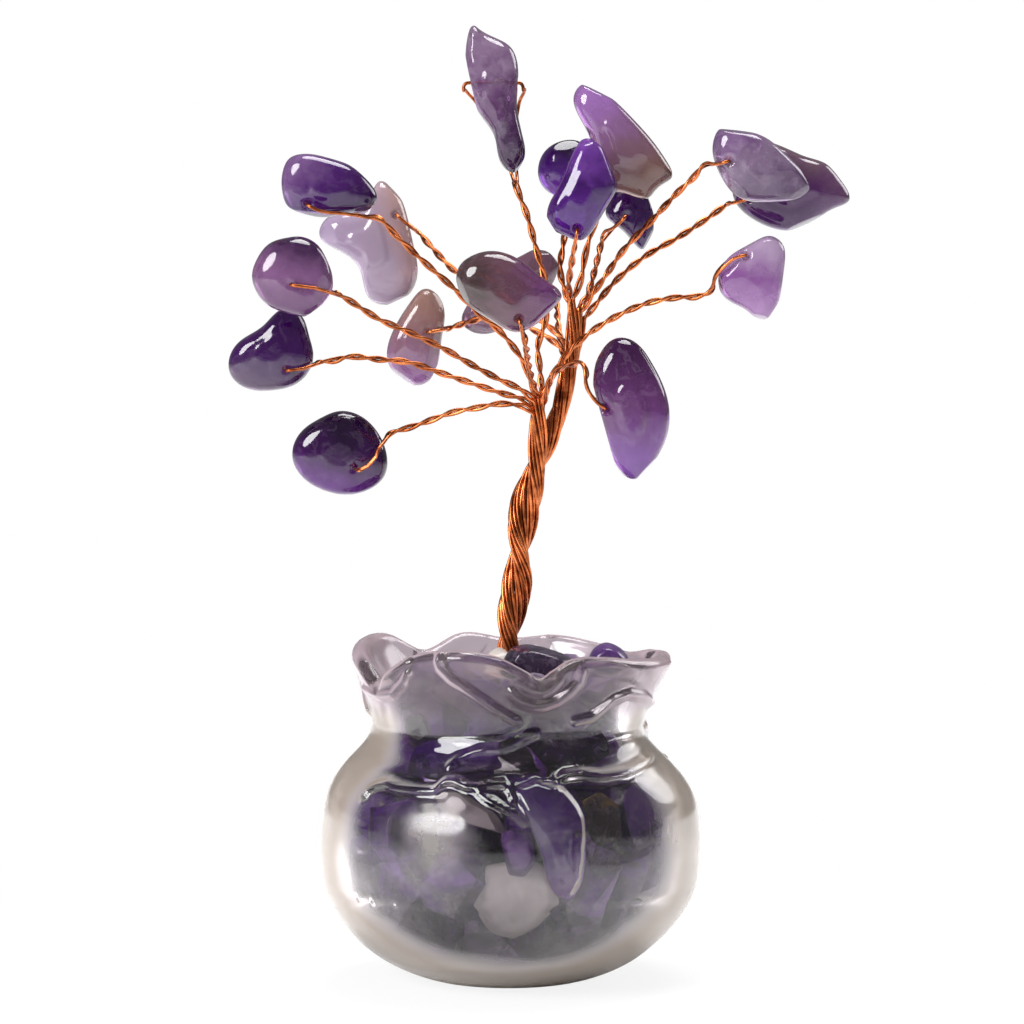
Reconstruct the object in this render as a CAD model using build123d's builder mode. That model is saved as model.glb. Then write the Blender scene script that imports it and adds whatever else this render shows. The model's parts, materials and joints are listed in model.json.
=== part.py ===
from build123d import *
import math
import os

os.makedirs("parts", exist_ok=True)

# Gemstone tree: copper wire trunk and branches with drilled amethyst chips as leaves,
# rooted in stone chips inside a glass pot that is shaped like a tied pouch.
# Millimetres. The origin is the middle of the pot's flat foot, +Z is up, and the viewer stands at -Y.

# Overall size and the picture that the places were read from
tree_height = 89.8
picture_height_px = 953
axis_px = 509
eye_px = 512
eye_height = 44.2
view_distance = 430
view_tilt = 4.5
mm_per_px = tree_height / picture_height_px

# Copper wire
wire_diameter = 0.32
strand_gap = 0.03
twist_pitch = 4.2
trunk_pitch = 22
bend_radius = 0.45
root_height = 18
strand_pitch = wire_diameter + strand_gap
row_pitch = strand_pitch * math.sqrt(3) / 2
trunk_steps = 6
limb_gap = 0.04
loose_share = 1.06
depth_ease = 1.3
wire_clearance = 0.22
wire_stand = wire_diameter / 2 + wire_clearance
ear_shares = ((0.1, 1, 0.15), (0.35, 1, 0.5), (0.8, 0.85, 0.8), (1.15, 0.35, 0.93))

# Leaf stones
hole_diameter = 0.9
leaf_thickness = 4.2
leaf_fullness = 2.5
leaf_swing = 6
ear_swing = 3
outline_ease = 0.95
section_shares = (-0.97, -0.8, -0.45, 0, 0.45, 0.8, 0.97)

# Glass pot
foot_radius = 7.2
belly_radius = 18.15
belly_height = 12.4
neck_radius = 12.9
neck_height = 24
rim_radius = 15.3
rim_height = 32.2
pot_wall = 2.2
pot_floor = 2.8
overrun = 4
lip_round = 0.8
sash_radius = 13.2
sash_height = 22.8
sash_width = 4.4
sash_thickness = 2.6
sash_lean = 24
# Side curve: radius in shares of the belly's, height in shares of the way up below and above the belly
low_side_share = ((0.518, 0.057), (0.683, 0.178), (0.86, 0.419), (0.959, 0.666))
high_side_share = ((0.985, 0.297), (0.915, 0.56), (0.77, 0.82))
# Rim: turn from the front in degrees, positive to the right, then radius and height in shares of the rim's
rim_share = (
    (-161, 1, 0.975), (-143, 0.961, 0.932), (-123, 1.007, 0.991), (-105, 1.007, 0.994), (-90, 0.993, 0.978),
    (-76, 0.967, 0.944), (-65, 0.922, 0.894), (-54, 0.928, 0.938), (-39, 0.948, 0.991), (-25, 0.954, 1.006),
    (-3, 0.948, 0.988), (7, 0.954, 0.95), (12, 0.98, 0.932), (17, 0.974, 0.953), (24, 0.948, 0.978),
    (40, 0.941, 0.981), (57, 0.954, 0.966), (75, 0.993, 0.957), (90, 1.046, 0.953), (105, 1.02, 0.957),
    (122, 0.967, 0.938), (140, 0.993, 0.95), (160, 0.974, 0.969), (180, 0.993, 0.957))
flare_share = 0.35
flare_power = 1.6
most_flare_share = 1.1
collar_share = (-0.12, 0.2, 0.5, 0.8, 1.08)
tail_start = 0.7
tail_width = 6.2
tail_top = 22
tail_tip = 8
tail_thickness = 1

# Stone filling, and the glue that holds the trunk
chip_gap = 0.25
chip_round = 0.85
chip_height = 4.9
glue_height = 29.5
glue_bore = 1.8
glue_wall = 1.1
glue_centre = -0.35

def place(px, py, depth):
    """The point at this depth whose picture falls on the pixel."""
    spread = mm_per_px * (1 + depth / view_distance)
    rise = (eye_px - py) * spread - depth * math.sin(math.radians(view_tilt))
    return Vector((px - axis_px) * spread, depth, eye_height + rise / math.cos(math.radians(view_tilt)))


def smooth_line(points, steps):
    """Even points on a smooth curve through the given ones."""
    ends = [points[0] * 2 - points[1]] + list(points) + [points[-1] * 2 - points[-2]]
    line = []
    for k in range(1, len(ends) - 2):
        a, b, c, d = ends[k - 1], ends[k], ends[k + 1], ends[k + 2]
        for i in range(steps):
            t = i / steps
            line.append(
                b
                + (c - a) * (t / 2)
                + (a * 2 - b * 5 + c * 4 - d) * (t * t / 2)
                + (b * 3 - a - c * 3 + d) * (t**3 / 2)
            )
    return line + [points[-1]]


def at_height(line, z):
    """The point of a rising line at a height, carried on straight past its ends."""
    k = 0
    while k < len(line) - 2 and line[k + 1].Z < z:
        k += 1
    return line[k] + (line[k + 1] - line[k]) * ((z - line[k].Z) / (line[k + 1].Z - line[k].Z))


# Trunk and limb middle lines, as picture points with a depth in shares of the tree's height
trunk_px_share = (
    (503, 830, 0), (505, 720, 0), (508.5, 640, 0), (517.5, 571, 0), (524.5, 514, 0), (541, 445, 0))
left_limb_px_share = ((537.5, 458, -0.0065), (538, 428, -0.007), (538, 400, -0.007), (537, 365, -0.007))
rear_limb_px_share = (
    (543.5, 458, 0.007), (552, 430, 0.009), (561, 400, 0.011),
    (570, 362, 0.013), (576, 325, 0.014), (577, 290, 0.014))


def picture_line(points_px_share):
    return smooth_line([place(px, py, share * tree_height) for px, py, share in points_px_share], 8)


trunk_line = picture_line(trunk_px_share)
limb_lines = {1: picture_line(left_limb_px_share), -1: picture_line(rear_limb_px_share)}
fork_height = place(axis_px, 455, 0).Z
fork_blend = 4
fork_turn = 250


def limb_turn(z):
    """Angle of the left limb round the trunk, seen from above."""
    return math.radians(fork_turn) - 2 * math.pi * (z - fork_height) / trunk_pitch


def limb_centre(side, z):
    """Middle of the left (1) or rear (-1) limb: wound round each other below the fork, free above it."""
    turn = limb_turn(z)
    offset = Vector(math.cos(turn), math.sin(turn), 0) * ((2 * row_pitch + limb_gap) * side)
    wound = at_height(trunk_line, z) + offset
    free = at_height(limb_lines[side], z)
    share = min(max((z - fork_height + fork_blend / 2) / fork_blend, 0), 1)
    share = share * share * (3 - 2 * share)
    return wound * (1 - share) + free * share


def strand_point(side, row, column, strand, z):
    """Middle of one strand of a limb, in close-packed rows that turn with the trunk."""
    step = trunk_pitch / 100
    along = (limb_centre(side, z + step) - limb_centre(side, z - step)).normalized()
    turn = limb_turn(z)
    across = Vector(math.cos(turn), math.sin(turn), 0)
    across = (across - along * across.dot(along)).normalized()
    beside = along.cross(across)
    stagger = strand_pitch / 4 * side * (-1) ** row
    shift_across = (row - 1.5) * row_pitch * side
    shift_beside = (column + strand / 2) * strand_pitch + stagger
    return limb_centre(side, z) + across * shift_across + beside * shift_beside


# Leaves. Picture points are pixels, and depths are shares of the tree's height.
# limb: left 1 or rear -1. row and column: where the wire lies in the limb.
# leave: picture height at which it leaves the limb. route: branch points.
# edge: where the pair opens round the stone.
leaves = {
    1: dict(
        limb=1, row=1, column=-1, leave_px=391, depth_share=0, thick_share=1.1,
        route_px=((540, 370), (538, 346), (546, 318), (545, 285), (536, 250), (528, 220), (522, 204)),
        edge_px=(518, 193), via_px=(), mouth_px=(494, 86), ear_px=((468, 100), (519, 100)),
        outline_px=((476, 30), (492, 40), (511, 51), (518, 70), (517, 108), (523, 140), (524, 162), (513, 175),
                    (502, 167), (495, 140), (477, 112), (468, 82), (466, 54))),
    2: dict(
        limb=1, row=2, column=-1, leave_px=400, depth_share=0, thick_share=1,
        route_px=((531, 383), (522, 360), (502, 334), (480, 315), (455, 290), (430, 268), (405, 245), (390, 230)),
        edge_px=(386, 225), via_px=((356, 216), (330, 218)), mouth_px=(309, 206),
        outline_px=((283, 190), (284, 173), (291, 160), (303, 156), (330, 160), (354, 169), (371, 185), (378, 200),
                    (372, 210), (350, 215), (325, 219), (303, 215), (288, 207))),
    3: dict(
        limb=1, row=2, column=1, leave_px=404, depth_share=-0.09, thick_share=1.15,
        route_px=((523, 391), (498, 379), (470, 364), (440, 347), (410, 333), (380, 320), (356, 305)),
        edge_px=(343, 297), via_px=((317, 288),), mouth_px=(293, 285),
        outline_px=((293, 238), (315, 243), (327, 257), (333, 275), (333, 292), (325, 306), (308, 317), (288, 314),
                    (270, 307), (257, 292), (253, 277), (258, 260), (270, 245))),
    4: dict(
        limb=1, row=3, column=-1, leave_px=410, depth_share=0, thick_share=1,
        route_px=((524, 400), (500, 393), (470, 383), (440, 373), (410, 363), (380, 360), (352, 357), (335, 361)),
        edge_px=(324, 362), via_px=((305, 368),), mouth_px=(288, 370),
        outline_px=((290, 309), (303, 317), (310, 337), (314, 355), (309, 373), (296, 385), (272, 391), (245, 388),
                    (231, 375), (230, 358), (240, 342), (263, 327), (277, 313))),
    5: dict(
        limb=1, row=3, column=1, leave_px=416, depth_share=0, thick_share=1.1,
        route_px=((524, 407), (500, 404), (478, 408), (455, 412), (432, 420), (412, 427)),
        edge_px=(397, 431), via_px=((379, 447), (372, 460)), mouth_px=(354, 467),
        outline_px=((345, 411), (364, 418), (379, 434), (387, 455), (385, 476), (371, 489), (348, 495), (322, 490),
                    (303, 478), (293, 461), (294, 444), (303, 430), (321, 418))),
    6: dict(
        limb=-1, row=2, column=1, leave_px=352, depth_share=0.14, thick_share=1.1,
        route_px=((560, 337), (543, 323), (515, 303), (480, 285), (455, 272), (435, 252)),
        edge_px=(421, 236), via_px=(), mouth_px=(397, 216),
        outline_px=((384, 183), (397, 193), (407, 215), (413, 242), (418, 268), (414, 289), (390, 306), (370, 300),
                    (361, 272), (343, 254), (320, 236), (328, 219), (355, 212), (371, 197))),
    7: dict(
        limb=-1, row=1, column=1, leave_px=362, depth_share=0.12, thick_share=1,
        route_px=((557, 345), (536, 332), (510, 322), (485, 319), (465, 324)),
        edge_px=(453, 328), via_px=(), mouth_px=(428, 332),
        outline_px=((430, 290), (441, 300), (445, 317), (442, 338), (438, 365), (430, 381), (416, 386), (399, 378),
                    (388, 363), (388, 346), (398, 322), (411, 302))),
    8: dict(
        limb=1, row=1, column=1, leave_px=400, depth_share=-0.11, thick_share=1.2,
        route_px=((532, 380), (528, 362)),
        edge_px=(526, 346), via_px=(), mouth_px=(519, 319),
        outline_px=((476, 255), (505, 254), (525, 264), (546, 281), (562, 296), (550, 312), (532, 328), (515, 333),
                    (494, 323), (470, 307), (458, 290), (459, 268))),
    9: dict(
        limb=-1, row=3, column=-1, leave_px=303, depth_share=0.018, thick_share=1,
        route_px=((581, 279), (585, 256), (591, 234)),
        edge_px=(599, 213), via_px=(), mouth_px=(612, 179),
        outline_px=((586, 87), (603, 95), (628, 117), (650, 141), (667, 165), (672, 178), (657, 190), (648, 200),
                    (622, 195), (604, 192), (595, 168), (588, 137), (575, 112), (574, 96))),
    10: dict(
        limb=-1, row=4, column=0, leave_px=304, depth_share=-0.04, thick_share=1,
        route_px=((569, 281),),
        edge_px=(573, 256), via_px=(), mouth_px=(577, 230),
        outline_px=((588, 140), (600, 148), (611, 166), (617, 188), (609, 205), (597, 225), (580, 242), (566, 238),
                    (549, 227), (547, 212), (556, 192), (567, 168), (577, 147))),
    11: dict(
        limb=-1, row=3, column=1, leave_px=309, depth_share=0.055, thick_share=0.9,
        route_px=((566, 295), (560, 272), (563, 245), (567, 225)),
        edge_px=(570, 211), via_px=(), mouth_px=(573, 187),
        outline_px=((572, 142), (556, 145), (544, 154), (538, 168), (539, 182), (548, 194), (563, 199), (580, 196),
                    (590, 182), (590, 162), (584, 147))),
    12: dict(
        limb=-1, row=2, column=-1, leave_px=313, depth_share=0.085, thick_share=0.9,
        route_px=((588, 293), (595, 268)),
        edge_px=(601, 243), via_px=(), mouth_px=(625, 217),
        outline_px=((618, 189), (635, 188), (650, 200), (653, 222), (650, 243), (642, 251), (631, 242), (618, 229),
                    (605, 216), (609, 201))),
    13: dict(
        limb=-1, row=1, column=-1, leave_px=317, depth_share=0.01, thick_share=1,
        route_px=((589, 300), (605, 277), (624, 250), (650, 223), (675, 196), (692, 180)),
        edge_px=(699, 171), via_px=(), mouth_px=(727, 163),
        outline_px=((722, 130), (745, 133), (766, 141), (786, 158), (803, 176), (808, 190), (797, 200), (772, 204),
                    (748, 203), (733, 196), (721, 181), (713, 163), (712, 143))),
    14: dict(
        limb=-1, row=0, column=-1, leave_px=322, depth_share=0.07, thick_share=1,
        route_px=((594, 307), (616, 281), (645, 257), (675, 240), (703, 222)),
        edge_px=(724, 207), via_px=(), mouth_px=(747, 200),
        outline_px=((768, 144), (786, 151), (805, 159), (823, 165), (836, 178), (847, 203), (833, 210), (812, 223),
                    (790, 232), (766, 228), (746, 217), (734, 204), (732, 180), (745, 158))),
    15: dict(
        limb=1, row=0, column=-1, leave_px=401, depth_share=-0.012, thick_share=0.9,
        route_px=((551, 379), (567, 354), (590, 333), (620, 315), (650, 303), (680, 298), (694, 298)),
        edge_px=(703.5, 295.5), via_px=((717, 274), (727, 259)), mouth_px=(744, 256),
        outline_px=((773, 238), (782, 246), (783, 270), (779, 298), (770, 317), (762, 321), (745, 311), (728, 302),
                    (718, 289), (719, 272), (728, 258), (745, 247), (758, 240))),
    16: dict(
        limb=1, row=0, column=1, leave_px=408, depth_share=-0.1, thick_share=1.1,
        route_px=((548, 386), (556, 372), (567, 366)),
        edge_px=(578.5, 363), via_px=((590, 385), (592, 399)), mouth_px=(605, 408),
        outline_px=((625, 338), (637, 344), (651, 362), (662, 383), (669, 408), (667, 436), (656, 460), (643, 476),
                    (632, 480), (619, 470), (608, 450), (601, 424), (594, 398), (594, 370), (603, 348))),
    17: dict(
        limb=-1, row=0, column=1, leave_px=370, depth_share=0.128, thick_share=0.8,
        route_px=((562, 348), (558, 328)),
        edge_px=(556, 301), via_px=(), mouth_px=(541, 276),
        outline_px=((530, 252), (548, 252), (558, 261), (557, 275), (544, 296), (522, 318), (495, 333), (473, 333),
                    (462, 324), (467, 306), (484, 286), (508, 264))),
}


def leaf_centre(leaf):
    """Middle of a leaf's outline, at its depth."""
    xs = [px for px, py in leaf["outline_px"]]
    ys = [py for px, py in leaf["outline_px"]]
    return place((min(xs) + max(xs)) / 2, (min(ys) + max(ys)) / 2, leaf["depth_share"] * tree_height)


def leaf_outline(leaf):
    """Outline points in the leaf's upright plane, measured from its middle."""
    centre = leaf_centre(leaf)
    points = [place(px, py, centre.Y) for px, py in leaf["outline_px"]]
    return [(point.X - centre.X, point.Z - centre.Z) for point in points]


def leaf_half_thickness(leaf, point, ease=1):
    """Half the stone's thickness at a point of its plane, zero outside. Ease under 1 makes it wider."""
    centre = leaf_centre(leaf)
    u, v = point.X - centre.X, point.Z - centre.Z
    outline = leaf_outline(leaf)
    reach = 0
    for k, (x0, y0) in enumerate(outline):
        x1, y1 = outline[k - 1]
        area = x0 * y1 - x1 * y0
        a, b = (u * y1 - v * x1) / area, (v * x0 - u * y0) / area
        if a >= 0 and b >= 0:
            reach = (a + b) * ease
    if reach >= 1:
        return 0
    half = leaf["thick_share"] * leaf_thickness / 2
    return half * (1 - reach**leaf_fullness) ** (1 / leaf_fullness)


def pair_frames(points, first_side):
    """Tangent and two sideways directions at each point, carried along without twisting."""
    frames = []
    side = first_side
    for k in range(len(points)):
        ahead = (points[min(k + 1, len(points) - 1)] - points[max(k - 1, 0)]).normalized()
        side = (side - ahead * side.dot(ahead)).normalized()
        frames.append((ahead, side, ahead.cross(side)))
    return frames


def resample(line, count):
    """Points at equal distances along a line, both ends included."""
    lengths = [0]
    for a, b in zip(line, line[1:]):
        lengths.append(lengths[-1] + (b - a).length)
    points = []
    k = 0
    for i in range(count + 1):
        want = lengths[-1] * i / count
        while k < len(line) - 2 and lengths[k + 1] < want:
            k += 1
        share = (want - lengths[k]) / (lengths[k + 1] - lengths[k])
        points.append(line[k] + (line[k + 1] - line[k]) * share)
    return points


def wire_nodes(leaf):
    """Points and directions along one wire: root, limb, branch, round the stone and back."""
    side, row, column = leaf["limb"], leaf["row"], leaf["column"]
    depth = leaf["depth_share"] * tree_height
    leave = place(axis_px, leaf["leave_px"], 0).Z
    count = math.ceil((leave - root_height) / (trunk_pitch / trunk_steps))
    heights = [root_height + (leave - root_height) * k / count for k in range(count + 1)]
    strands = {1: [], -1: []}
    step = trunk_pitch / 100
    for strand in strands:
        for z in heights:
            here = strand_point(side, row, column, strand, z)
            ahead = strand_point(side, row, column, strand, z + step)
            behind = strand_point(side, row, column, strand, z - step)
            strands[strand].append((here, (ahead - behind).normalized()))

    # The branch's middle line, with depth growing evenly along it
    start = strand_point(side, row, column, 0, leave)
    before = strand_point(side, row, column, 0, leave - twist_pitch / 4)
    stops = list(leaf["route_px"]) + [leaf["edge_px"]]
    places_px = [(start.X / mm_per_px + axis_px, leaf["leave_px"])] + stops
    spans = [math.dist(a, b) for a, b in zip(places_px, places_px[1:])]
    route = [before, start]
    done = 0
    for (px, py), span in zip(stops, spans):
        done += span
        route.append(place(px, py, start.Y + (depth - start.Y) * (done / sum(spans)) ** depth_ease))
    line = smooth_line(route, 12)[12:]
    length = sum((b - a).length for a, b in zip(line, line[1:]))
    quarters = max(round(length / (twist_pitch / 4)), 2)
    middles = resample(line, quarters)
    first_side = (strands[1][-1][0] - strands[-1][-1][0]).normalized()
    frames = pair_frames(middles, first_side)
    across = "ear_px" in leaf
    hole = Vector(1, 0, 0) if across else Vector(0, -1, 0)
    ahead, beside, above = frames[-1]
    last = math.atan2(hole.dot(above), hole.dot(beside))
    turns = round((-quarters / 4 * 2 * math.pi - last) / (2 * math.pi))
    sweep_angle = last + turns * 2 * math.pi
    for k in range(1, quarters + 1):
        radius = strand_pitch / 2 * (loose_share if k < 3 else 1)
        ahead, beside, above = frames[k]
        angle = sweep_angle * k / quarters
        out = beside * math.cos(angle) + above * math.sin(angle)
        swing = (above * math.cos(angle) - beside * math.sin(angle)) * (radius * sweep_angle / length)
        for strand in strands:
            strands[strand].append((middles[k] + out * (radius * strand), (ahead + swing * strand).normalized()))
    go_round = ear_nodes if across else loop_nodes
    return strands, {strand: go_round(leaf, middles[-1], strand) for strand in strands}


def swept_half_thickness(leaf, point):
    """Most half thickness that comes under a point while the stone rocks about its hole."""
    mouth = place(*leaf["mouth_px"], leaf["depth_share"] * tree_height)
    turned = [mouth + (point - mouth).rotate(Axis.Y, turn) for turn in (-leaf_swing, 0, leaf_swing)]
    return max(leaf_half_thickness(leaf, spot, outline_ease) for spot in turned)


def over_stone(leaf, path, out):
    """Points of a taut wire over the stone's face, from the end of the twist to the hole."""
    length = sum((b - a).length for a, b in zip(path, path[1:]))
    spots = resample(path, math.ceil(length / wire_diameter))
    rises = [strand_pitch / 2]
    for spot in spots[1:]:
        half = swept_half_thickness(leaf, spot)
        rises.append(half + wire_stand if half > 0 else strand_pitch / 2)
    taut = [0]
    while taut[-1] < len(spots) - 1:
        here = taut[-1]
        slopes = [((rises[k] - rises[here]) / (k - here), k) for k in range(here + 1, len(spots))]
        taut.append(max(slopes)[1])
    return [spots[k] + out * rises[k] for k in taut]


def end_in_hole(chain, mouth_side, inward, hole_way):
    """Directions along the chain, then a quarter bend into the drilled hole."""
    nodes = []
    for k in range(1, len(chain) - 1):
        nodes.append((chain[k], (chain[k + 1] - chain[k - 1]).normalized()))
    nodes.append((chain[-1], inward))
    nodes.append((mouth_side, hole_way))
    return nodes


def loop_nodes(leaf, start, strand):
    """One strand's way over the stone's face, as far as the drilled hole."""
    depth = leaf["depth_share"] * tree_height
    mouth = place(*leaf["mouth_px"], depth)
    stops = [place(px, py, depth) for px, py in leaf["via_px"]]
    inward = (mouth - (stops[-1] if stops else start)).normalized()
    out = Vector(0, -strand, 0)
    chain = over_stone(leaf, [start] + stops + [mouth - inward * bend_radius], out)
    mouth_out = abs(chain[-1].Y - depth)
    return end_in_hole(chain, mouth + out * (mouth_out - bend_radius), inward, out * -1)


def ear_nodes(leaf, start, strand):
    """One strand's way up behind the upright top stone and round its edge, into the hole across it."""
    mouth = place(*leaf["mouth_px"], leaf["depth_share"] * tree_height)
    edge = Vector(place(*leaf["ear_px"][(strand + 1) // 2], mouth.Y).X, mouth.Y, mouth.Z)
    out = Vector(strand, 0, 0)
    swing = (mouth.Z - start.Z) * math.sin(math.radians(ear_swing))
    back = Vector(0, leaf["thick_share"] * leaf_thickness / 2 + wire_stand + swing, 0)
    chain = [start + out * (strand_pitch / 2)]
    for across_share, deep_share, rise_share in ear_shares:
        chain.append(start + (mouth - start) * rise_share + (edge - mouth) * across_share + back * deep_share)
    chain.append(edge + out * wire_stand - Vector(0, 0, bend_radius))
    return end_in_hole(chain, edge + out * (wire_stand - bend_radius), Vector(0, 0, 1), out * -1)


def biarc(start, start_way, end, end_way):
    """Two tangent arcs from point to point, as (start, direction, end) pieces."""
    chord = end - start
    bend = 2 * (1 - start_way.dot(end_way))
    reach = 2 * chord.dot(start_way + end_way)
    if bend < 1e-7:
        arm = chord.dot(chord) / reach
    else:
        arm = (math.sqrt(reach * reach + 4 * bend * chord.dot(chord)) - reach) / (2 * bend)
    near, far = start + start_way * arm, end - end_way * arm
    joint = (near + far) * 0.5
    return [(start, start_way, joint), (joint, (far - near).normalized(), end)]


def run_wire(nodes):
    """Draw the wire's middle line in the open line builder, straight where it doesn't bend."""
    for (start, way), (end, end_way) in zip(nodes, nodes[1:]):
        for a, direction, b in biarc(start, way, end, end_way):
            if direction.cross((b - a).normalized()).length < 1e-5:
                Line(a, b)
            else:
                TangentArc(a, b, tangent=direction)


def whole_wire(leaf):
    """All the nodes of one unbroken wire, up one strand and down the other."""
    strands, loops = wire_nodes(leaf)
    up = strands[1] + loops[1]
    down = strands[-1] + loops[-1]
    return up + [(point, way * -1) for point, way in reversed(down)]


# Branch wires, one unbroken wire to a leaf
for number, leaf in leaves.items():
    nodes = whole_wire(leaf)
    with BuildPart() as branch_wire:
        with BuildLine():
            run_wire(nodes)
        with BuildSketch(Plane(origin=nodes[0][0], z_dir=nodes[0][1])):
            Circle(wire_diameter / 2)
        sweep()
    branch_wire.part.label = f"branch_wire_{number:02d}"
    export_step(branch_wire.part, f"parts/branch_wire_{number:02d}.step")

# Leaf stones, each drilled for its wire
for number, leaf in leaves.items():
    centre = leaf_centre(leaf)
    outline = leaf_outline(leaf)
    half = leaf["thick_share"] * leaf_thickness / 2
    mouth = place(*leaf["mouth_px"], centre.Y)
    hole_way = Vector(1, 0, 0) if "ear_px" in leaf else Vector(0, 1, 0)
    reach = tree_height / 2
    with BuildPart() as leaf_stone:
        for share in section_shares:
            scale = (1 - abs(share) ** leaf_fullness) ** (1 / leaf_fullness)
            plane = Plane(origin=centre + Vector(0, half * share, 0), x_dir=(1, 0, 0), z_dir=(0, -1, 0))
            with BuildSketch(plane):
                with BuildLine():
                    Spline([(x * scale, y * scale) for x, y in outline], periodic=True)
                make_face()
        loft()
        with BuildSketch(Plane(origin=mouth - hole_way * reach, z_dir=hole_way)):
            Circle(hole_diameter / 2)
        extrude(amount=2 * reach, mode=Mode.SUBTRACT)
    leaf_stone.part.label = f"leaf_stone_{number:02d}"
    export_step(leaf_stone.part, f"parts/leaf_stone_{number:02d}.step")


def pot_side(grow, floor):
    """Half outline of the pot's round body up to its neck, wider by grow, from the axis and back to it."""
    belly = (belly_radius + grow, belly_height)
    low = [(belly_radius * across + grow, floor + (belly_height - floor) * up) for across, up in low_side_share]
    rise = neck_height - belly_height
    high = [(belly_radius * across + grow, belly_height + rise * up) for across, up in high_side_share]
    Line((0, floor), (foot_radius + grow, floor))
    Spline([(foot_radius + grow, floor)] + low + [belly], tangents=((1, 0.25), (0, 1)))
    Spline([belly] + high + [(neck_radius + grow, neck_height)], tangents=((0, 1), (-0.1, 1)))
    Line((neck_radius + grow, neck_height), (0, neck_height))
    Line((0, neck_height), (0, floor))


def round_axis(turn, radius, height):
    """A point at a turn from the front, positive to the right."""
    return (radius * math.sin(math.radians(turn)), -radius * math.cos(math.radians(turn)), height)


def collar_outlines(grow):
    """Heights and uneven closed outlines from the neck up past the rim, wider by grow."""
    outlines = []
    for share in collar_share:
        height = neck_height + (rim_height - neck_height) * share
        points = []
        for turn, radius_share, height_share in rim_share:
            way_up = max(height - neck_height, 0) / (rim_height * height_share - neck_height)
            flare = flare_share * way_up + (1 - flare_share) * way_up**flare_power
            spread = (rim_radius * radius_share - neck_radius) * min(flare, most_flare_share)
            points.append(round_axis(turn, neck_radius + spread + grow, 0)[:2])
        outlines.append((height, points))
    return outlines


def rim_wave(radius):
    """The rim's closed wavy line, carried out or in to a radius."""
    return Spline([round_axis(turn, radius, rim_height * share) for turn, _, share in rim_share], periodic=True)


# Tail of the moulded sash: a tongue that hangs down the belly in front
with BuildPart() as sash_tail:
    with BuildSketch(Plane.XZ):
        with BuildLine():
            pot_side(tail_thickness, 0)
        make_face()
    revolve(axis=Axis.Z)
    with BuildSketch(Plane.XZ.offset(belly_radius - pot_wall)):
        with BuildLine():
            Polyline(
                (tail_start, tail_top), (tail_start, tail_tip + tail_width / 2),
                (tail_start + tail_width / 3, tail_tip + tail_width / 6),
                (tail_start + tail_width * 0.7, tail_tip), (tail_start + tail_width, tail_tip + tail_width / 3),
                (tail_start + tail_width, tail_top), (tail_start, tail_top),
            )
        make_face()
    extrude(amount=pot_wall + overrun, mode=Mode.INTERSECT)

# Glass pot: round pouch body, fluted collar, and the sash moulded round its neck
with BuildPart() as glass_pot:
    with BuildSketch(Plane.XZ):
        with BuildLine():
            pot_side(0, 0)
        make_face()
    revolve(axis=Axis.Z)
    for height, points in collar_outlines(0):
        with BuildSketch(Plane.XY.offset(height)):
            with BuildLine():
                Spline(points, periodic=True)
            make_face()
    loft()
    with BuildSketch(Plane.XZ):
        with Locations(Location((sash_radius, sash_height), sash_lean)):
            Ellipse(sash_thickness / 2, sash_width / 2)
    revolve(axis=Axis.Z)
    add(sash_tail.part)
    with BuildSketch(Plane.XZ):
        with BuildLine():
            pot_side(-pot_wall, pot_floor)
        make_face()
    revolve(axis=Axis.Z, mode=Mode.SUBTRACT)
    for height, points in collar_outlines(-pot_wall):
        with BuildSketch(Plane.XY.offset(height)):
            with BuildLine():
                Spline(points, periodic=True)
            make_face()
    loft(mode=Mode.SUBTRACT)
    wave = Face.make_surface_from_curves(rim_wave(rim_radius + overrun), rim_wave(neck_radius / 2))
    extrude(wave, amount=rim_height - neck_height, dir=(0, 0, 1), mode=Mode.SUBTRACT)
    high_faces = glass_pot.faces().filter_by(lambda face: face.bounding_box().min.Z > neck_height + overrun)
    lip = high_faces.sort_by(SortBy.AREA)[0]
    fillet(lip.edges().filter_by(lambda edge: edge.length > rim_radius), lip_round)
glass_pot.part.label = "glass_pot"
export_step(glass_pot.part, "parts/glass_pot.step")

# Glue plug cast round the foot of the trunk
with BuildPart() as glue_plug:
    with BuildSketch(Plane.XY.offset(root_height)):
        with Locations((glue_centre, 0)):
            Circle(glue_bore + glue_wall)
            Circle(glue_bore, mode=Mode.SUBTRACT)
    extrude(amount=glue_height - root_height)
    chamfer(glue_plug.faces().sort_by(Axis.Z)[-1].edges(), glue_wall / 3)
glue_plug.part.label = "glue_plug"
export_step(glue_plug.part, "parts/glue_plug.step")

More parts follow.
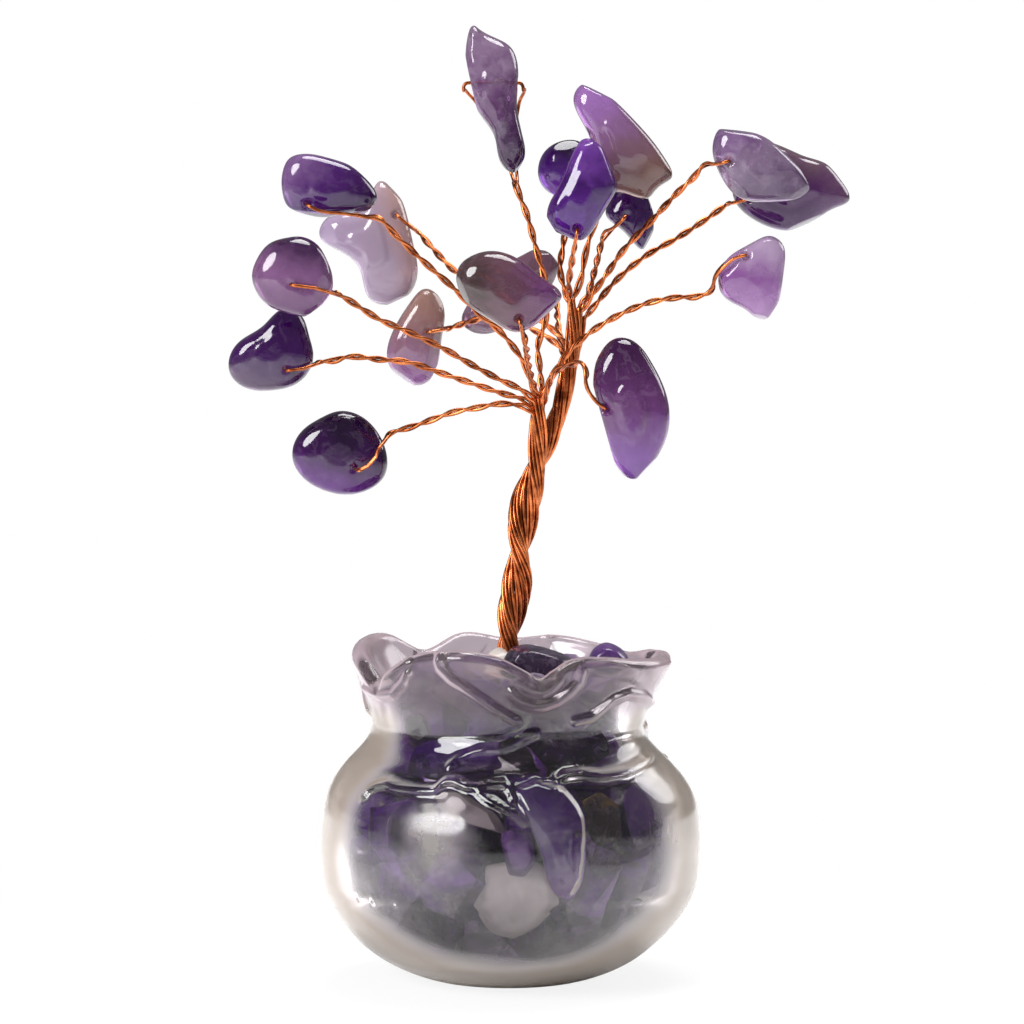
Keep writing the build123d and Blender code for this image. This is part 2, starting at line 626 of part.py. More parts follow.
# Filling chips, laid in rings: the layer's foot and height, then each ring's inner and outer radius and count
layer_step = chip_height + chip_gap
glue_reach = glue_bore + glue_wall + abs(glue_centre)
neck_reach = neck_radius - pot_wall
neck_split = glue_reach + (neck_reach - glue_reach) / 3
belly_reach = belly_radius - pot_wall
top_height = rim_height - pot_floor - 5 * layer_step - chip_gap
layers = {
    "filling_floor": (0, chip_height, (
        (belly_reach * 0.14, belly_reach * 0.33, 4, 0), (belly_reach * 0.34, belly_reach * 0.58, 10, 0.3))),
    "filling_lower": (1, chip_height, (
        (belly_reach * 0.12, belly_reach * 0.3, 4, 0), (belly_reach * 0.31, belly_reach * 0.62, 8, 0),
        (belly_reach * 0.63, belly_reach * 0.92, 14, 0.05))),
    "filling_middle": (2, chip_height, (
        (belly_reach * 0.12, belly_reach * 0.3, 4, 0), (belly_reach * 0.31, belly_reach * 0.6, 8, 0),
        (belly_reach * 0.61, belly_reach * 0.91, 14, 0))),
    "filling_shoulder": (3, chip_height, ((glue_reach, neck_split, 6, 0), (neck_split, neck_reach, 9, 0))),
    "filling_neck": (4, chip_height, ((glue_reach, neck_split, 6, 0), (neck_split, neck_reach * 0.98, 9, 0))),
    "filling_top": (5, top_height, (
        (glue_reach, neck_reach * 0.6, 6, 0), (neck_reach * 0.62, neck_reach * 1.04, 9, 0))),
}
height_shares = (1, 0.88, 0.96, 0.84, 0.92, 0.98, 0.86)
for name, (level, height, rings) in layers.items():
    foot = pot_floor + chip_gap + level * layer_step
    with BuildPart() as filling:
        for ring, (inner, outer, count, lift_share) in enumerate(rings):
            width = 2 * inner * math.tan(math.pi / count) - chip_gap
            middle, deep = (inner + outer) / 2, outer - inner - chip_gap
            for k in range(count):
                turn = 360 * k / count + 23 * level + 11 * ring
                x, y = middle * math.cos(math.radians(turn)), middle * math.sin(math.radians(turn))
                tall = height * (height_shares[(k + ring + level) % len(height_shares)] - lift_share)
                with Locations(Location((x, y, foot + height * lift_share), (0, 0, turn))):
                    Box(deep, width, tall, align=(Align.CENTER, Align.CENTER, Align.MIN))
        fillet(filling.edges(), chip_round)
    filling.part.label = name
    export_step(filling.part, f"parts/{name}.step")
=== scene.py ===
import bmesh
import bpy
import json
import math
import numpy as np
import random
from mathutils import Matrix, Vector


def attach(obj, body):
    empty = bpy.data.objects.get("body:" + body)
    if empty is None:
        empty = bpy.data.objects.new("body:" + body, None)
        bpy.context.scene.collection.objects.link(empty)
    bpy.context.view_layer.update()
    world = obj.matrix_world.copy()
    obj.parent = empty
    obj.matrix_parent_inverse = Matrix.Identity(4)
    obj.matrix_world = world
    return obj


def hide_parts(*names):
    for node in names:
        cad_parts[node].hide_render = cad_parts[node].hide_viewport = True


# Gemstone tree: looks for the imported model. Meters, with the origin in the middle of the pot's foot,
# +Z up and the viewer at -Y.
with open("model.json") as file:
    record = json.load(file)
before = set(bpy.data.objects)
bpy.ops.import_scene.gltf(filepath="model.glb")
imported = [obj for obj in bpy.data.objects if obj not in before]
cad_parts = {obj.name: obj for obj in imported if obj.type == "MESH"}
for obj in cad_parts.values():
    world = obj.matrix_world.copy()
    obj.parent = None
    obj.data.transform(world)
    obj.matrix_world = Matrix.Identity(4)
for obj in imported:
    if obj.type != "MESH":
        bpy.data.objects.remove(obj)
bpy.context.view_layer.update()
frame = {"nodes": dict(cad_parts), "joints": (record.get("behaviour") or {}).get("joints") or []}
scene = bpy.context.scene
scene.view_settings.view_transform = "Standard"
mm = 0.001

# Camera: the picture is 1024 pixels square
shot = dict(
    distance=430 * mm,
    tilt=math.radians(4.5),
    axisPx=509,  # picture column of the pot's axis
    eyePx=512,  # picture row of the eye height
    eyeHeight=44.2 * mm,
    pixel=0.09423 * mm,  # one pixel at the axis
    framePx=1024,
)


def fromPicture(px, py, depth):
    # the point at this depth that shows at the pixel
    spread = shot["pixel"] * (1 + depth / shot["distance"])
    rise = (shot["eyePx"] - py) * spread - depth * math.sin(shot["tilt"])
    return Vector(((px - shot["axisPx"]) * spread, depth, shot["eyeHeight"] + rise / math.cos(shot["tilt"])))


cameraData = bpy.data.cameras.new("camera")
camera = bpy.data.objects.new("camera", cameraData)
scene.collection.objects.link(camera)
aim = Vector(((shot["framePx"] / 2 - shot["axisPx"]) * shot["pixel"], 0, shot["eyeHeight"]))
lookWay = Vector((0, math.cos(shot["tilt"]), -math.sin(shot["tilt"])))
camera.location = aim - lookWay * shot["distance"]
camera.rotation_euler = (math.radians(90) - shot["tilt"], 0, 0)
cameraData.sensor_fit = "HORIZONTAL"
cameraData.angle = 2 * math.atan(shot["framePx"] * shot["pixel"] / 2 / shot["distance"])
cameraData.clip_start = 10 * mm
scene.camera = camera
print("camera set")


# Small helpers
def hexColor(text):
    # sRGB hex to the linear values that nodes take
    channels = [int(text[i : i + 2], 16) / 255 for i in (1, 3, 5)]
    linear = [c / 12.92 if c <= 0.04045 else ((c + 0.055) / 1.055) ** 2.4 for c in channels]
    return (*linear, 1)


def addNode(tree, kind, settings=None, inputs=None):
    node = tree.nodes.new(kind)
    for key, value in (settings or {}).items():
        setattr(node, key, value)
    for key, value in (inputs or {}).items():
        if isinstance(value, bpy.types.NodeSocket):
            tree.links.new(value, node.inputs[key])
        else:
            node.inputs[key].default_value = value
    return node


def newMaterial(name):
    material = bpy.data.materials.new(name)
    material.use_nodes = True
    tree = material.node_tree
    tree.nodes.clear()
    output = addNode(tree, "ShaderNodeOutputMaterial")
    place = addNode(tree, "ShaderNodeTexCoord").outputs["Object"]
    return material, tree, output, place


def setStops(ramp, stops):
    # color stops as (position, hex) pairs
    elements = ramp.color_ramp.elements
    while len(elements) > len(stops):
        elements.remove(elements[-1])
    while len(elements) < len(stops):
        elements.new(1)
    for element, (position, color) in zip(elements, stops):
        element.position = position
        element.color = hexColor(color)


def addPiece(name, mesh, material, body, nodes=()):
    piece = bpy.data.objects.new(name, mesh)
    scene.collection.objects.link(piece)
    mesh.materials.clear()
    mesh.materials.append(material)
    mesh.shade_smooth()
    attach(piece, body)
    if nodes:
        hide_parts(*nodes)
    return piece


# Copper: bare drawn wire. Drawing leaves fine lines along it, and handling leaves a thin brown film,
# so it shines in pale streaks over orange with red-brown hollows.
copper = dict(
    bright="#d27a48",
    film="#6e2e12",
    filmSize=1.6,  # mm, patches of brown film
    drawLines=0.05,  # mm, drawn coarser than the die's real marks
    roughness=0.26,
    filmRoughness=0.12,  # more where the film is
)


def copperMaterial():
    material, tree, output, place = newMaterial("drawnCopper")
    patches = addNode(tree, "ShaderNodeTexNoise", None,
                      {"Vector": place, "Scale": 1 / (copper["filmSize"] * mm), "Detail": 3, "Roughness": 0.6})
    ramp = addNode(tree, "ShaderNodeValToRGB", None, {"Fac": patches.outputs["Fac"]})
    setStops(ramp, ((0.3, copper["film"]), (0.62, copper["bright"])))
    lines = addNode(tree, "ShaderNodeTexNoise", None,
                    {"Vector": place, "Scale": 1 / (copper["drawLines"] * mm), "Detail": 1})
    rough = addNode(tree, "ShaderNodeMapRange", None,
                    {"Value": patches.outputs["Fac"], "To Min": copper["roughness"] + copper["filmRoughness"],
                     "To Max": copper["roughness"] - copper["filmRoughness"] / 2})
    bump = addNode(tree, "ShaderNodeBump", None,
                   {"Height": lines.outputs["Fac"], "Strength": 0.12, "Distance": 0.01 * mm})
    shader = addNode(tree, "ShaderNodeBsdfPrincipled", None,
                     {"Base Color": ramp.outputs["Color"], "Metallic": 1, "Roughness": rough.outputs["Result"],
                      "Normal": bump.outputs["Normal"]})
    tree.links.new(shader.outputs["BSDF"], output.inputs["Surface"])
    return material


# Trunk: all the strands wind tighter round its middle line than in the solids, as they were twisted with pliers
trunk = dict(
    middle=((503, 830), (505, 720), (508.5, 640), (517.5, 571), (524.5, 514), (541, 445)),  # picture points
    fork=51,  # mm, height where the winding starts
    winding=6,  # degrees more for each mm down
    ease=2,  # mm over which the winding sets in
)


def woundMesh(node):
    mesh = node.data.copy()
    points = np.empty(len(mesh.vertices) * 3)
    mesh.vertices.foreach_get("co", points)
    points = points.reshape(-1, 3)
    middle = np.array([fromPicture(px, py, 0) for px, py in trunk["middle"]])
    acrossMiddle = np.interp(points[:, 2], middle[:, 2], middle[:, 0])
    down = np.maximum(trunk["fork"] - points[:, 2] / mm, 0)
    turn = np.radians(trunk["winding"]) * down * down / (down + trunk["ease"])
    x, y = points[:, 0] - acrossMiddle, points[:, 1].copy()
    points[:, 0] = acrossMiddle + x * np.cos(turn) - y * np.sin(turn)
    points[:, 1] = x * np.sin(turn) + y * np.cos(turn)
    mesh.vertices.foreach_set("co", points.reshape(-1))
    mesh.update()
    return mesh


wireMaterial = copperMaterial()
for name in sorted(n for n in frame["nodes"] if n.startswith("branch_wire")):
    addPiece("copperWire" + name[-2:], woundMesh(frame["nodes"][name]), wireMaterial, "tree", [name])
print("wires wound")

# Leaf stones: tumbled amethyst, polished in a drum, so every edge is soft and the surface is glassy.
# zones: colors along way, from its low end to its high end. way: across the stone, x right and z up.
# mottle and patch: how strong and how large (mm) the color patches are. clear: how much light passes.
# veins: pale feathery flaws. dense: depth of the color inside. cuts, cutDepth (mm): soft flats of the rough chip.
stoneDefaults = dict(way=(0.2, 0, 1), mottle=0.5, patch=2.6, clear=0.6, veins=0.05, dense=120, cuts=6,
                     cutDepth=0.22, roughness=0.07)
stoneLooks = {
    1: dict(zones=((0.2, "#3d2047"), (0.5, "#6a4570"), (0.8, "#8d7391")), mottle=0.9, patch=1.6, veins=0.14),
    2: dict(zones=((0.1, "#2a0340"), (0.55, "#4a1a68"), (0.9, "#7f5c90")), way=(-0.6, 0, 0.6)),
    3: dict(zones=((0.1, "#6b4070"), (0.5, "#8a5f8c"), (0.9, "#3a1a45")), way=(0.2, 0, 1)),
    4: dict(zones=((0.1, "#5d4766"), (0.4, "#3b0a53"), (0.9, "#2a0340"))),
    5: dict(zones=((0.1, "#6a2f8a"), (0.4, "#3c0a50"), (0.8, "#1c0628"))),
    6: dict(zones=((0.1, "#a894b4"), (0.6, "#b09cb0"), (0.95, "#c49a86")), way=(1, 0, 0.3), mottle=0.3, clear=0.5),
    7: dict(zones=((0.1, "#a070a8"), (0.5, "#8f6a72"), (0.9, "#a07a70")), mottle=0.4, clear=0.5),
    8: dict(zones=((0.1, "#4d3a3c"), (0.5, "#6d4a58"), (0.9, "#6f3a72")), way=(1, 0, -0.1), mottle=0.7),
    9: dict(zones=((0.1, "#7a5a52"), (0.45, "#7f5c70"), (0.9, "#a070b4")), way=(-0.6, 0, 1), mottle=0.5),
    10: dict(zones=((0.1, "#5a1f8a"), (0.5, "#420a66"), (0.9, "#7a3fa8")), mottle=0.9),
    11: dict(zones=((0.1, "#7a3ab0"), (0.5, "#5a1f8a"), (0.9, "#22062f"))),
    12: dict(zones=((0.1, "#3f1a60"), (0.9, "#2d0340"))),
    13: dict(zones=((0.1, "#5d3c6a"), (0.5, "#9a82a0"), (0.9, "#7d5a8a")), way=(-0.4, 0, 1), mottle=0.8, veins=0.16),
    14: dict(zones=((0.1, "#3a0c50"), (0.5, "#5a2a66"), (0.9, "#7a6266")), way=(0.4, 0, 1)),
    15: dict(zones=((0.1, "#b48ac0"), (0.5, "#8f5a9c"), (0.9, "#b9a0c0")), mottle=0.6, veins=0.08),
    16: dict(zones=((0.1, "#8050a0"), (0.5, "#6a3a72"), (0.9, "#3a1040")), way=(-0.2, 0, 1), veins=0.08),
    17: dict(zones=((0.1, "#8a6a80"), (0.9, "#6a4a5a")), way=(0.3, 0, 1)),
}
amethyst = dict(
    vein="#c8b6cf",
    inside="#7c3a8e",  # what the light takes on in the stone
    flawSize=1.1,  # mm
    flawRange=(0.54, 0.6),
    pitSize=0.5,  # mm
    pitDepth=0.03,  # mm
    pitStrength=0.25,
    ior=1.544,
)
hole = dict(rimNear=0.4, rimFar=0.5, dimple=0.1, plug=0.6)  # mm from the hole's axis, depth left open, plug radius
tumble = dict(
    voxel=0.16,  # mm
    smoothing=4,
    shave=0.85,  # share of what stands past a flat
    cutRange=(0.6, 1.4),
)


def amethystMaterial(name, center, reach, look):
    # quartz colored by iron: light enters, so the thin rims glow and the middle goes deep violet
    material, tree, output, place = newMaterial(name)
    local = addNode(tree, "ShaderNodeVectorMath", {"operation": "SUBTRACT"}, {0: place, 1: center})
    along = addNode(tree, "ShaderNodeVectorMath", {"operation": "DOT_PRODUCT"},
                    {0: local.outputs["Vector"], 1: Vector(look["way"]).normalized() / (2 * reach)})
    patches = addNode(tree, "ShaderNodeTexNoise", None,
                      {"Vector": place, "Scale": 1 / (look["patch"] * mm), "Detail": 4, "Roughness": 0.55,
                       "Distortion": 0.8})
    mixed = addNode(tree, "ShaderNodeMath", {"operation": "MULTIPLY_ADD"},
                    {0: patches.outputs["Fac"], 1: look["mottle"], 2: 0.5 - look["mottle"] / 2})
    zone = addNode(tree, "ShaderNodeMath", {"operation": "ADD"}, {0: along.outputs["Value"], 1: mixed.outputs["Value"]})
    ramp = addNode(tree, "ShaderNodeValToRGB", None, {"Fac": zone.outputs["Value"]})
    setStops(ramp, look["zones"])
    flaws = addNode(tree, "ShaderNodeTexNoise", None,
                    {"Vector": place, "Scale": 1 / (amethyst["flawSize"] * mm), "Detail": 5, "Distortion": 1.6})
    band = addNode(tree, "ShaderNodeMapRange", None,
                   {"Value": flaws.outputs["Fac"], "From Min": amethyst["flawRange"][0],
                    "From Max": amethyst["flawRange"][1], "To Max": look["veins"]})
    color = addNode(tree, "ShaderNodeMix", {"data_type": "RGBA"},
                    {"Factor": band.outputs["Result"], "A": ramp.outputs["Color"], "B": hexColor(amethyst["vein"])})
    pits = addNode(tree, "ShaderNodeTexNoise", None,
                   {"Vector": place, "Scale": 1 / (amethyst["pitSize"] * mm), "Detail": 2})
    bump = addNode(tree, "ShaderNodeBump", None,
                   {"Height": pits.outputs["Fac"], "Strength": amethyst["pitStrength"],
                    "Distance": amethyst["pitDepth"] * mm})
    shader = addNode(tree, "ShaderNodeBsdfPrincipled", None,
                     {"Base Color": color.outputs["Result"], "Roughness": look["roughness"], "IOR": amethyst["ior"],
                      "Transmission Weight": look["clear"], "Normal": bump.outputs["Normal"]})
    tree.links.new(shader.outputs["BSDF"], output.inputs["Surface"])
    depth = addNode(tree, "ShaderNodeVolumeAbsorption", None,
                    {"Color": hexColor(amethyst["inside"]), "Density": look["dense"]})
    tree.links.new(depth.outputs["Volume"], output.inputs["Volume"])
    return material


def plugHole(mesh, mouth, way):
    # closes the drilled hole to a shallow dimple: the wire is drawn in tight and the polish hides the rest
    spots = [vertex.co - mouth for vertex in mesh.vertices]
    rim = [spot.dot(way) for spot in spots
           if hole["rimNear"] * mm < (spot - way * spot.dot(way)).length < hole["rimFar"] * mm]
    high = min(along for along in rim if along > 0) - hole["dimple"] * mm
    low = max(along for along in rim if along < 0) + hole["dimple"] * mm
    build = bmesh.new()
    build.from_mesh(mesh)
    place = Matrix.Translation(mouth + way * (high + low) / 2) @ way.to_track_quat("Z", "Y").to_matrix().to_4x4()
    bmesh.ops.create_cone(build, cap_ends=True, segments=24, radius1=hole["plug"] * mm, radius2=hole["plug"] * mm,
                          depth=high - low, matrix=place)
    build.to_mesh(mesh)
    build.free()


def tumbledMesh(source, joint, name, look, seed):
    # a copy of the solid, remeshed and shaved back to soft flats, never grown
    maker = random.Random(seed)
    holder = bpy.data.objects.new(name, source.data.copy())
    plugHole(holder.data, Vector(joint["pos_m"]), Vector(joint["axis"]))
    scene.collection.objects.link(holder)
    remesh = holder.modifiers.new("remesh", "REMESH")
    remesh.mode = "VOXEL"
    remesh.voxel_size = tumble["voxel"] * mm
    smooth = holder.modifiers.new("smooth", "CORRECTIVE_SMOOTH")
    smooth.use_only_smooth = True
    smooth.iterations = tumble["smoothing"]
    graph = bpy.context.evaluated_depsgraph_get()
    mesh = bpy.data.meshes.new_from_object(holder.evaluated_get(graph))
    bpy.data.objects.remove(holder)
    points = np.empty(len(mesh.vertices) * 3)
    mesh.vertices.foreach_get("co", points)
    points = points.reshape(-1, 3)
    center = (points.min(axis=0) + points.max(axis=0)) / 2
    size = points.max(axis=0) - points.min(axis=0)
    for cut in range(look["cuts"]):
        way = Vector([maker.gauss(0, 1) for axis in range(3)])
        way = np.array(way.normalized())
        reach = ((points - center) @ way).max()
        over = (points - center) @ way - (reach - look["cutDepth"] * mm * maker.uniform(*tumble["cutRange"]))
        points = points - np.outer(np.where(over > 0, over * tumble["shave"], 0), way)
    mesh.vertices.foreach_set("co", points.reshape(-1))
    mesh.update()
    return mesh, center, size


for number, own in stoneLooks.items():
    look = {**stoneDefaults, **own}
    nodeName = f"leaf_stone_{number:02d}"
    source = frame["nodes"][nodeName]
    joint = next(joint for joint in frame["joints"] if joint["child"] == f"leaf_{number:02d}")
    mesh, center, size = tumbledMesh(source, joint, f"stone{number}", look, 40 + number)
    material = amethystMaterial(f"tumbledAmethyst{number:02d}", Vector(center), max(size) / 2, look)
    addPiece(f"amethystLeaf{number:02d}", mesh, material, f"leaf_{number:02d}", [nodeName])
print("leaf stones tumbled")

# Pot: pouch pressed from clouded glass. Profile points are (height, radius) in mm, read from its outline.
pot = dict(
    profile=((0, 6.4), (0.25, 7.8), (0.75, 9.4), (1.5, 11.1), (2.4, 12.6), (3.8, 14.3), (5.2, 15.6), (6.75, 16.65),
             (8.26, 17.4), (9.8, 17.85), (12.4, 18.12), (15.85, 17.85), (17.4, 17.4), (18.9, 16.6), (20.4, 15.4),
             (21.9, 13.95), (22.66, 13.35), (23.4, 13.0), (24.2, 12.9)),
    hollow=((1.6, 3.5), (1.72, 5.5), (2.05, 7.4), (2.65, 9.2), (3.6, 11), (5.1, 12.9), (7, 14.4), (9.2, 15.4)),
    neck=24.2,  # mm
    wall=2.2,  # mm
    floor=1.6,  # mm, top of the glass floor
    lipRound=0.82,  # of half the wall
    rimThinning=0.18,  # of the wall, lost over the thinning range
    thinning=(26, 4),  # mm, start and length
    flare=(0.35, 1.6),  # straight share and power of the rest
    around=420,  # points in a ring
    up=150,  # rings outside
    bodyShare=0.62,  # of those rings, up to the neck
    lip=10,  # rings over the rim
    inside=80,  # rings inside
    insidePower=0.8,  # below 1: closer rings at the floor
    valley=(0.08, 2.2),  # beside a fold: depth as a share of its height, distance in half widths
    wobble=((0.12, 3, 9, 0.5), (0.08, 7, -14)),  # mm, waves round, and how they lean and fade with height
    footRise=(0.3, 3),  # mm, where the unevenness starts and how soon it is full
)
sash = dict(
    low=(20.9, 0.35, 7, 0.5, 10, 55),  # height, wave, waves round, dip in front, its turn and reach
    high=(24.6, 0.25, 3, 40),  # height, wave, waves round, their turn
    soft=(0.5, 0.9),  # mm, the edges' rounding
    reach=50,  # degrees each side
    lift=0.28,  # mm
    fullness=0.7,
    tail=(0.75, 0.5, 0.6),  # lift and rounding in mm, fullness
)
# rim all round: (turn from the front in degrees, positive to the right; radius; height) in mm
rimShape = ((-180, 15.2, 30.8), (-161, 15.3, 31.4), (-143, 14.7, 30.0), (-123, 15.4, 31.9), (-105, 15.4, 32.0),
            (-90, 15.2, 31.5), (-76, 14.8, 30.4), (-65, 14.1, 28.8), (-54, 14.2, 30.2), (-39, 14.5, 31.9),
            (-25, 14.6, 32.4), (-3, 14.5, 31.8), (7, 14.6, 30.6), (12, 15.0, 30.0), (17, 14.9, 30.7),
            (24, 14.5, 31.5), (40, 14.4, 31.6), (57, 14.6, 31.1), (75, 15.2, 30.8), (90, 16.0, 30.7),
            (105, 15.6, 30.8), (122, 14.8, 30.2), (140, 15.2, 30.6), (160, 14.9, 31.2))
# folds and ridges, as picture points: points, half width in mm, height in mm
folds = (
    (((437, 654), (441, 668), (452, 680), (470, 692), (490, 706), (505, 716), (516, 722)), 0.42, 0.5),
    (((512, 694), (520, 702), (532, 706), (545, 706), (558, 701), (570, 692), (578, 682), (580, 674)), 0.5, 0.55),
    (((520, 685), (530, 692), (541, 694), (552, 690), (560, 682)), 0.4, 0.3),
    (((360, 662), (368, 676), (378, 683), (392, 677), (405, 664)), 0.45, 0.45),
    (((366, 690), (380, 697), (394, 695), (404, 684), (408, 674)), 0.4, 0.4),
    (((575, 722), (592, 718), (604, 708), (614, 700), (628, 694), (642, 697), (650, 704)), 0.4, 0.45),
    (((450, 766), (460, 758), (475, 752), (492, 750), (505, 748), (520, 740), (535, 734)), 0.4, 0.4),
    (((365, 797), (370, 790), (378, 786), (388, 784), (400, 788), (420, 791), (435, 791), (440, 786), (446, 782),
      (455, 782), (466, 788), (478, 789), (490, 786), (503, 785), (510, 790), (514, 800)), 0.34, 0.5),
    (((478, 792), (488, 800), (500, 807), (515, 815), (524, 824)), 0.34, 0.4),
    (((553, 790), (557, 782), (565, 776), (580, 773), (600, 776), (622, 772), (640, 764), (650, 755)), 0.4, 0.5),
    (((514, 786), (520, 800), (530, 818), (542, 838), (549, 858), (553, 880), (560, 893), (569, 897)), 0.34, 0.35),
    (((556, 785), (565, 795), (575, 807), (581, 820), (582, 840), (580, 862), (577, 885), (569, 897)), 0.34, 0.4),
    (((566, 835), (564, 855), (568, 875), (573, 892)), 0.28, 0.3),
)
# the same on the sides and back, as (turn, height) points
backFolds = (
    (((100, 30), (104, 27.5), (112, 26), (124, 25.4)), 0.5, 0.5),
    (((132, 30), (138, 28), (150, 27), (160, 28), (164, 30)), 0.5, 0.45),
    (((-172, 29.5), (-165, 27), (-152, 26)), 0.5, 0.5),
    (((-140, 29), (-132, 27), (-118, 26.2), (-108, 27.4), (-104, 30)), 0.5, 0.5),
    (((-96, 29), (-92, 27), (-84, 25.6)), 0.45, 0.4),
    (((108, 20.4), (122, 21), (138, 20.2), (152, 21), (166, 20.4), (178, 21)), 0.4, 0.5),
    (((-182, 21), (-168, 20.3), (-154, 21.1), (-140, 20.3), (-124, 21.2), (-110, 20.4)), 0.4, 0.5),
    (((90, 24), (104, 22.8), (120, 22.6), (134, 23.6)), 0.4, 0.35),
    (((-150, 23.8), (-134, 22.7), (-118, 22.6), (-104, 23.7)), 0.4, 0.35),
)
tailOutline = ((514, 786), (520, 800), (530, 818), (542, 838), (549, 858), (553, 880), (560, 893), (569, 897),
               (577, 885), (580, 862), (582, 840), (581, 820), (575, 807), (565, 795), (556, 785), (535, 778))


def hermite(values, slopes, span, k, t):
    # smooth curve between the values at k and k + 1
    return (values[k] * (2 * t**3 - 3 * t**2 + 1) + slopes[k] * span * (t**3 - 2 * t**2 + t)
            + values[k + 1] * (3 * t**2 - 2 * t**3) + slopes[k + 1] * span * (t**3 - t**2))


def smoothTable(rows, z):
    # smooth curve through (height, radius) rows, rising without a bump between them
    heights, radii = np.array(rows).T
    spans, slopes = np.diff(heights), np.diff(radii) / np.diff(heights)
    before, after = np.concatenate([slopes[:1], slopes]), np.concatenate([slopes, slopes[-1:]])
    tangents = np.where(before * after > 0, 2 * before * after / (before + after + 1e-12), 0)
    z = np.clip(z, heights[0], heights[-1])
    k = np.clip(np.searchsorted(heights, z, side="right") - 1, 0, len(heights) - 2)
    return hermite(radii, tangents, spans[k], k, (z - heights[k]) / spans[k])


def aroundTable(turns, column):
    # smooth closed curve through one column of the rim table
    known = np.array([row[0] for row in rimShape] + [rimShape[0][0] + 360])
    values = np.array([row[column] for row in rimShape] + [rimShape[0][column]])
    wrapped = (np.asarray(turns) + 180) % 360 - 180
    k = np.clip(np.searchsorted(known, wrapped, side="right") - 1, 0, len(known) - 2)
    t = (wrapped - known[k]) / (known[k + 1] - known[k])
    slopes = np.gradient(values, known)
    slopes[0] = slopes[-1] = (values[1] - values[-2]) / (known[1] - known[0] + known[-1] - known[-2])
    return hermite(values, slopes, known[k + 1] - known[k], k, t)


def collarRadius(turn, z):
    # flare from the neck to the rim
    rimRadius, rimHeight = aroundTable(turn, 1), aroundTable(turn, 2)
    share = np.clip((z - pot["neck"]) / (rimHeight - pot["neck"]), 0, 1)
    neckRadius = pot["profile"][-1][1]
    straight, power = pot["flare"]
    return neckRadius + (rimRadius - neckRadius) * (straight * share + (1 - straight) * share**power)


def outsideRadius(turn, z):
    return np.where(z < pot["neck"], smoothTable(pot["profile"], z), collarRadius(turn, z))


def onPot(px, py):
    # picture point to (turn, height) on the front of the pot
    turn, z = 0.0, 26.0
    for step in range(12):
        radius = float(outsideRadius(np.array(math.degrees(turn)), np.array(z)))
        point = fromPicture(px, py, -radius * math.cos(turn) * mm)
        turn = math.asin(max(-1, min(1, point.x / mm / radius)))
        z = max(0.0, point.z / mm)
    return math.degrees(turn), z


def nearLine(turns, heights, radii, line):
    # distance in mm to a line on the unrolled surface
    best = np.full(turns.shape, 1e9)
    for (t0, z0), (t1, z1) in zip(line, line[1:]):
        ax = np.radians((turns - t0 + 180) % 360 - 180) * radii
        az = heights - z0
        bx = np.radians(t1 - t0) * radii
        bz = z1 - z0
        s = np.clip((ax * bx + az * bz) / (bx * bx + bz * bz + 1e-9), 0, 1)
        best = np.minimum(best, np.hypot(ax - s * bx, az - s * bz))
    return best


def insideOutline(turns, heights, outline):
    inside = np.zeros(turns.shape, bool)
    for (t0, z0), (t1, z1) in zip(outline, outline[1:] + outline[:1]):
        crosses = (z0 > heights) != (z1 > heights)
        at = (t1 - t0) * (heights - z0) / (z1 - z0 + 1e-9) + t0
        inside ^= crosses & (turns < at)
    return inside


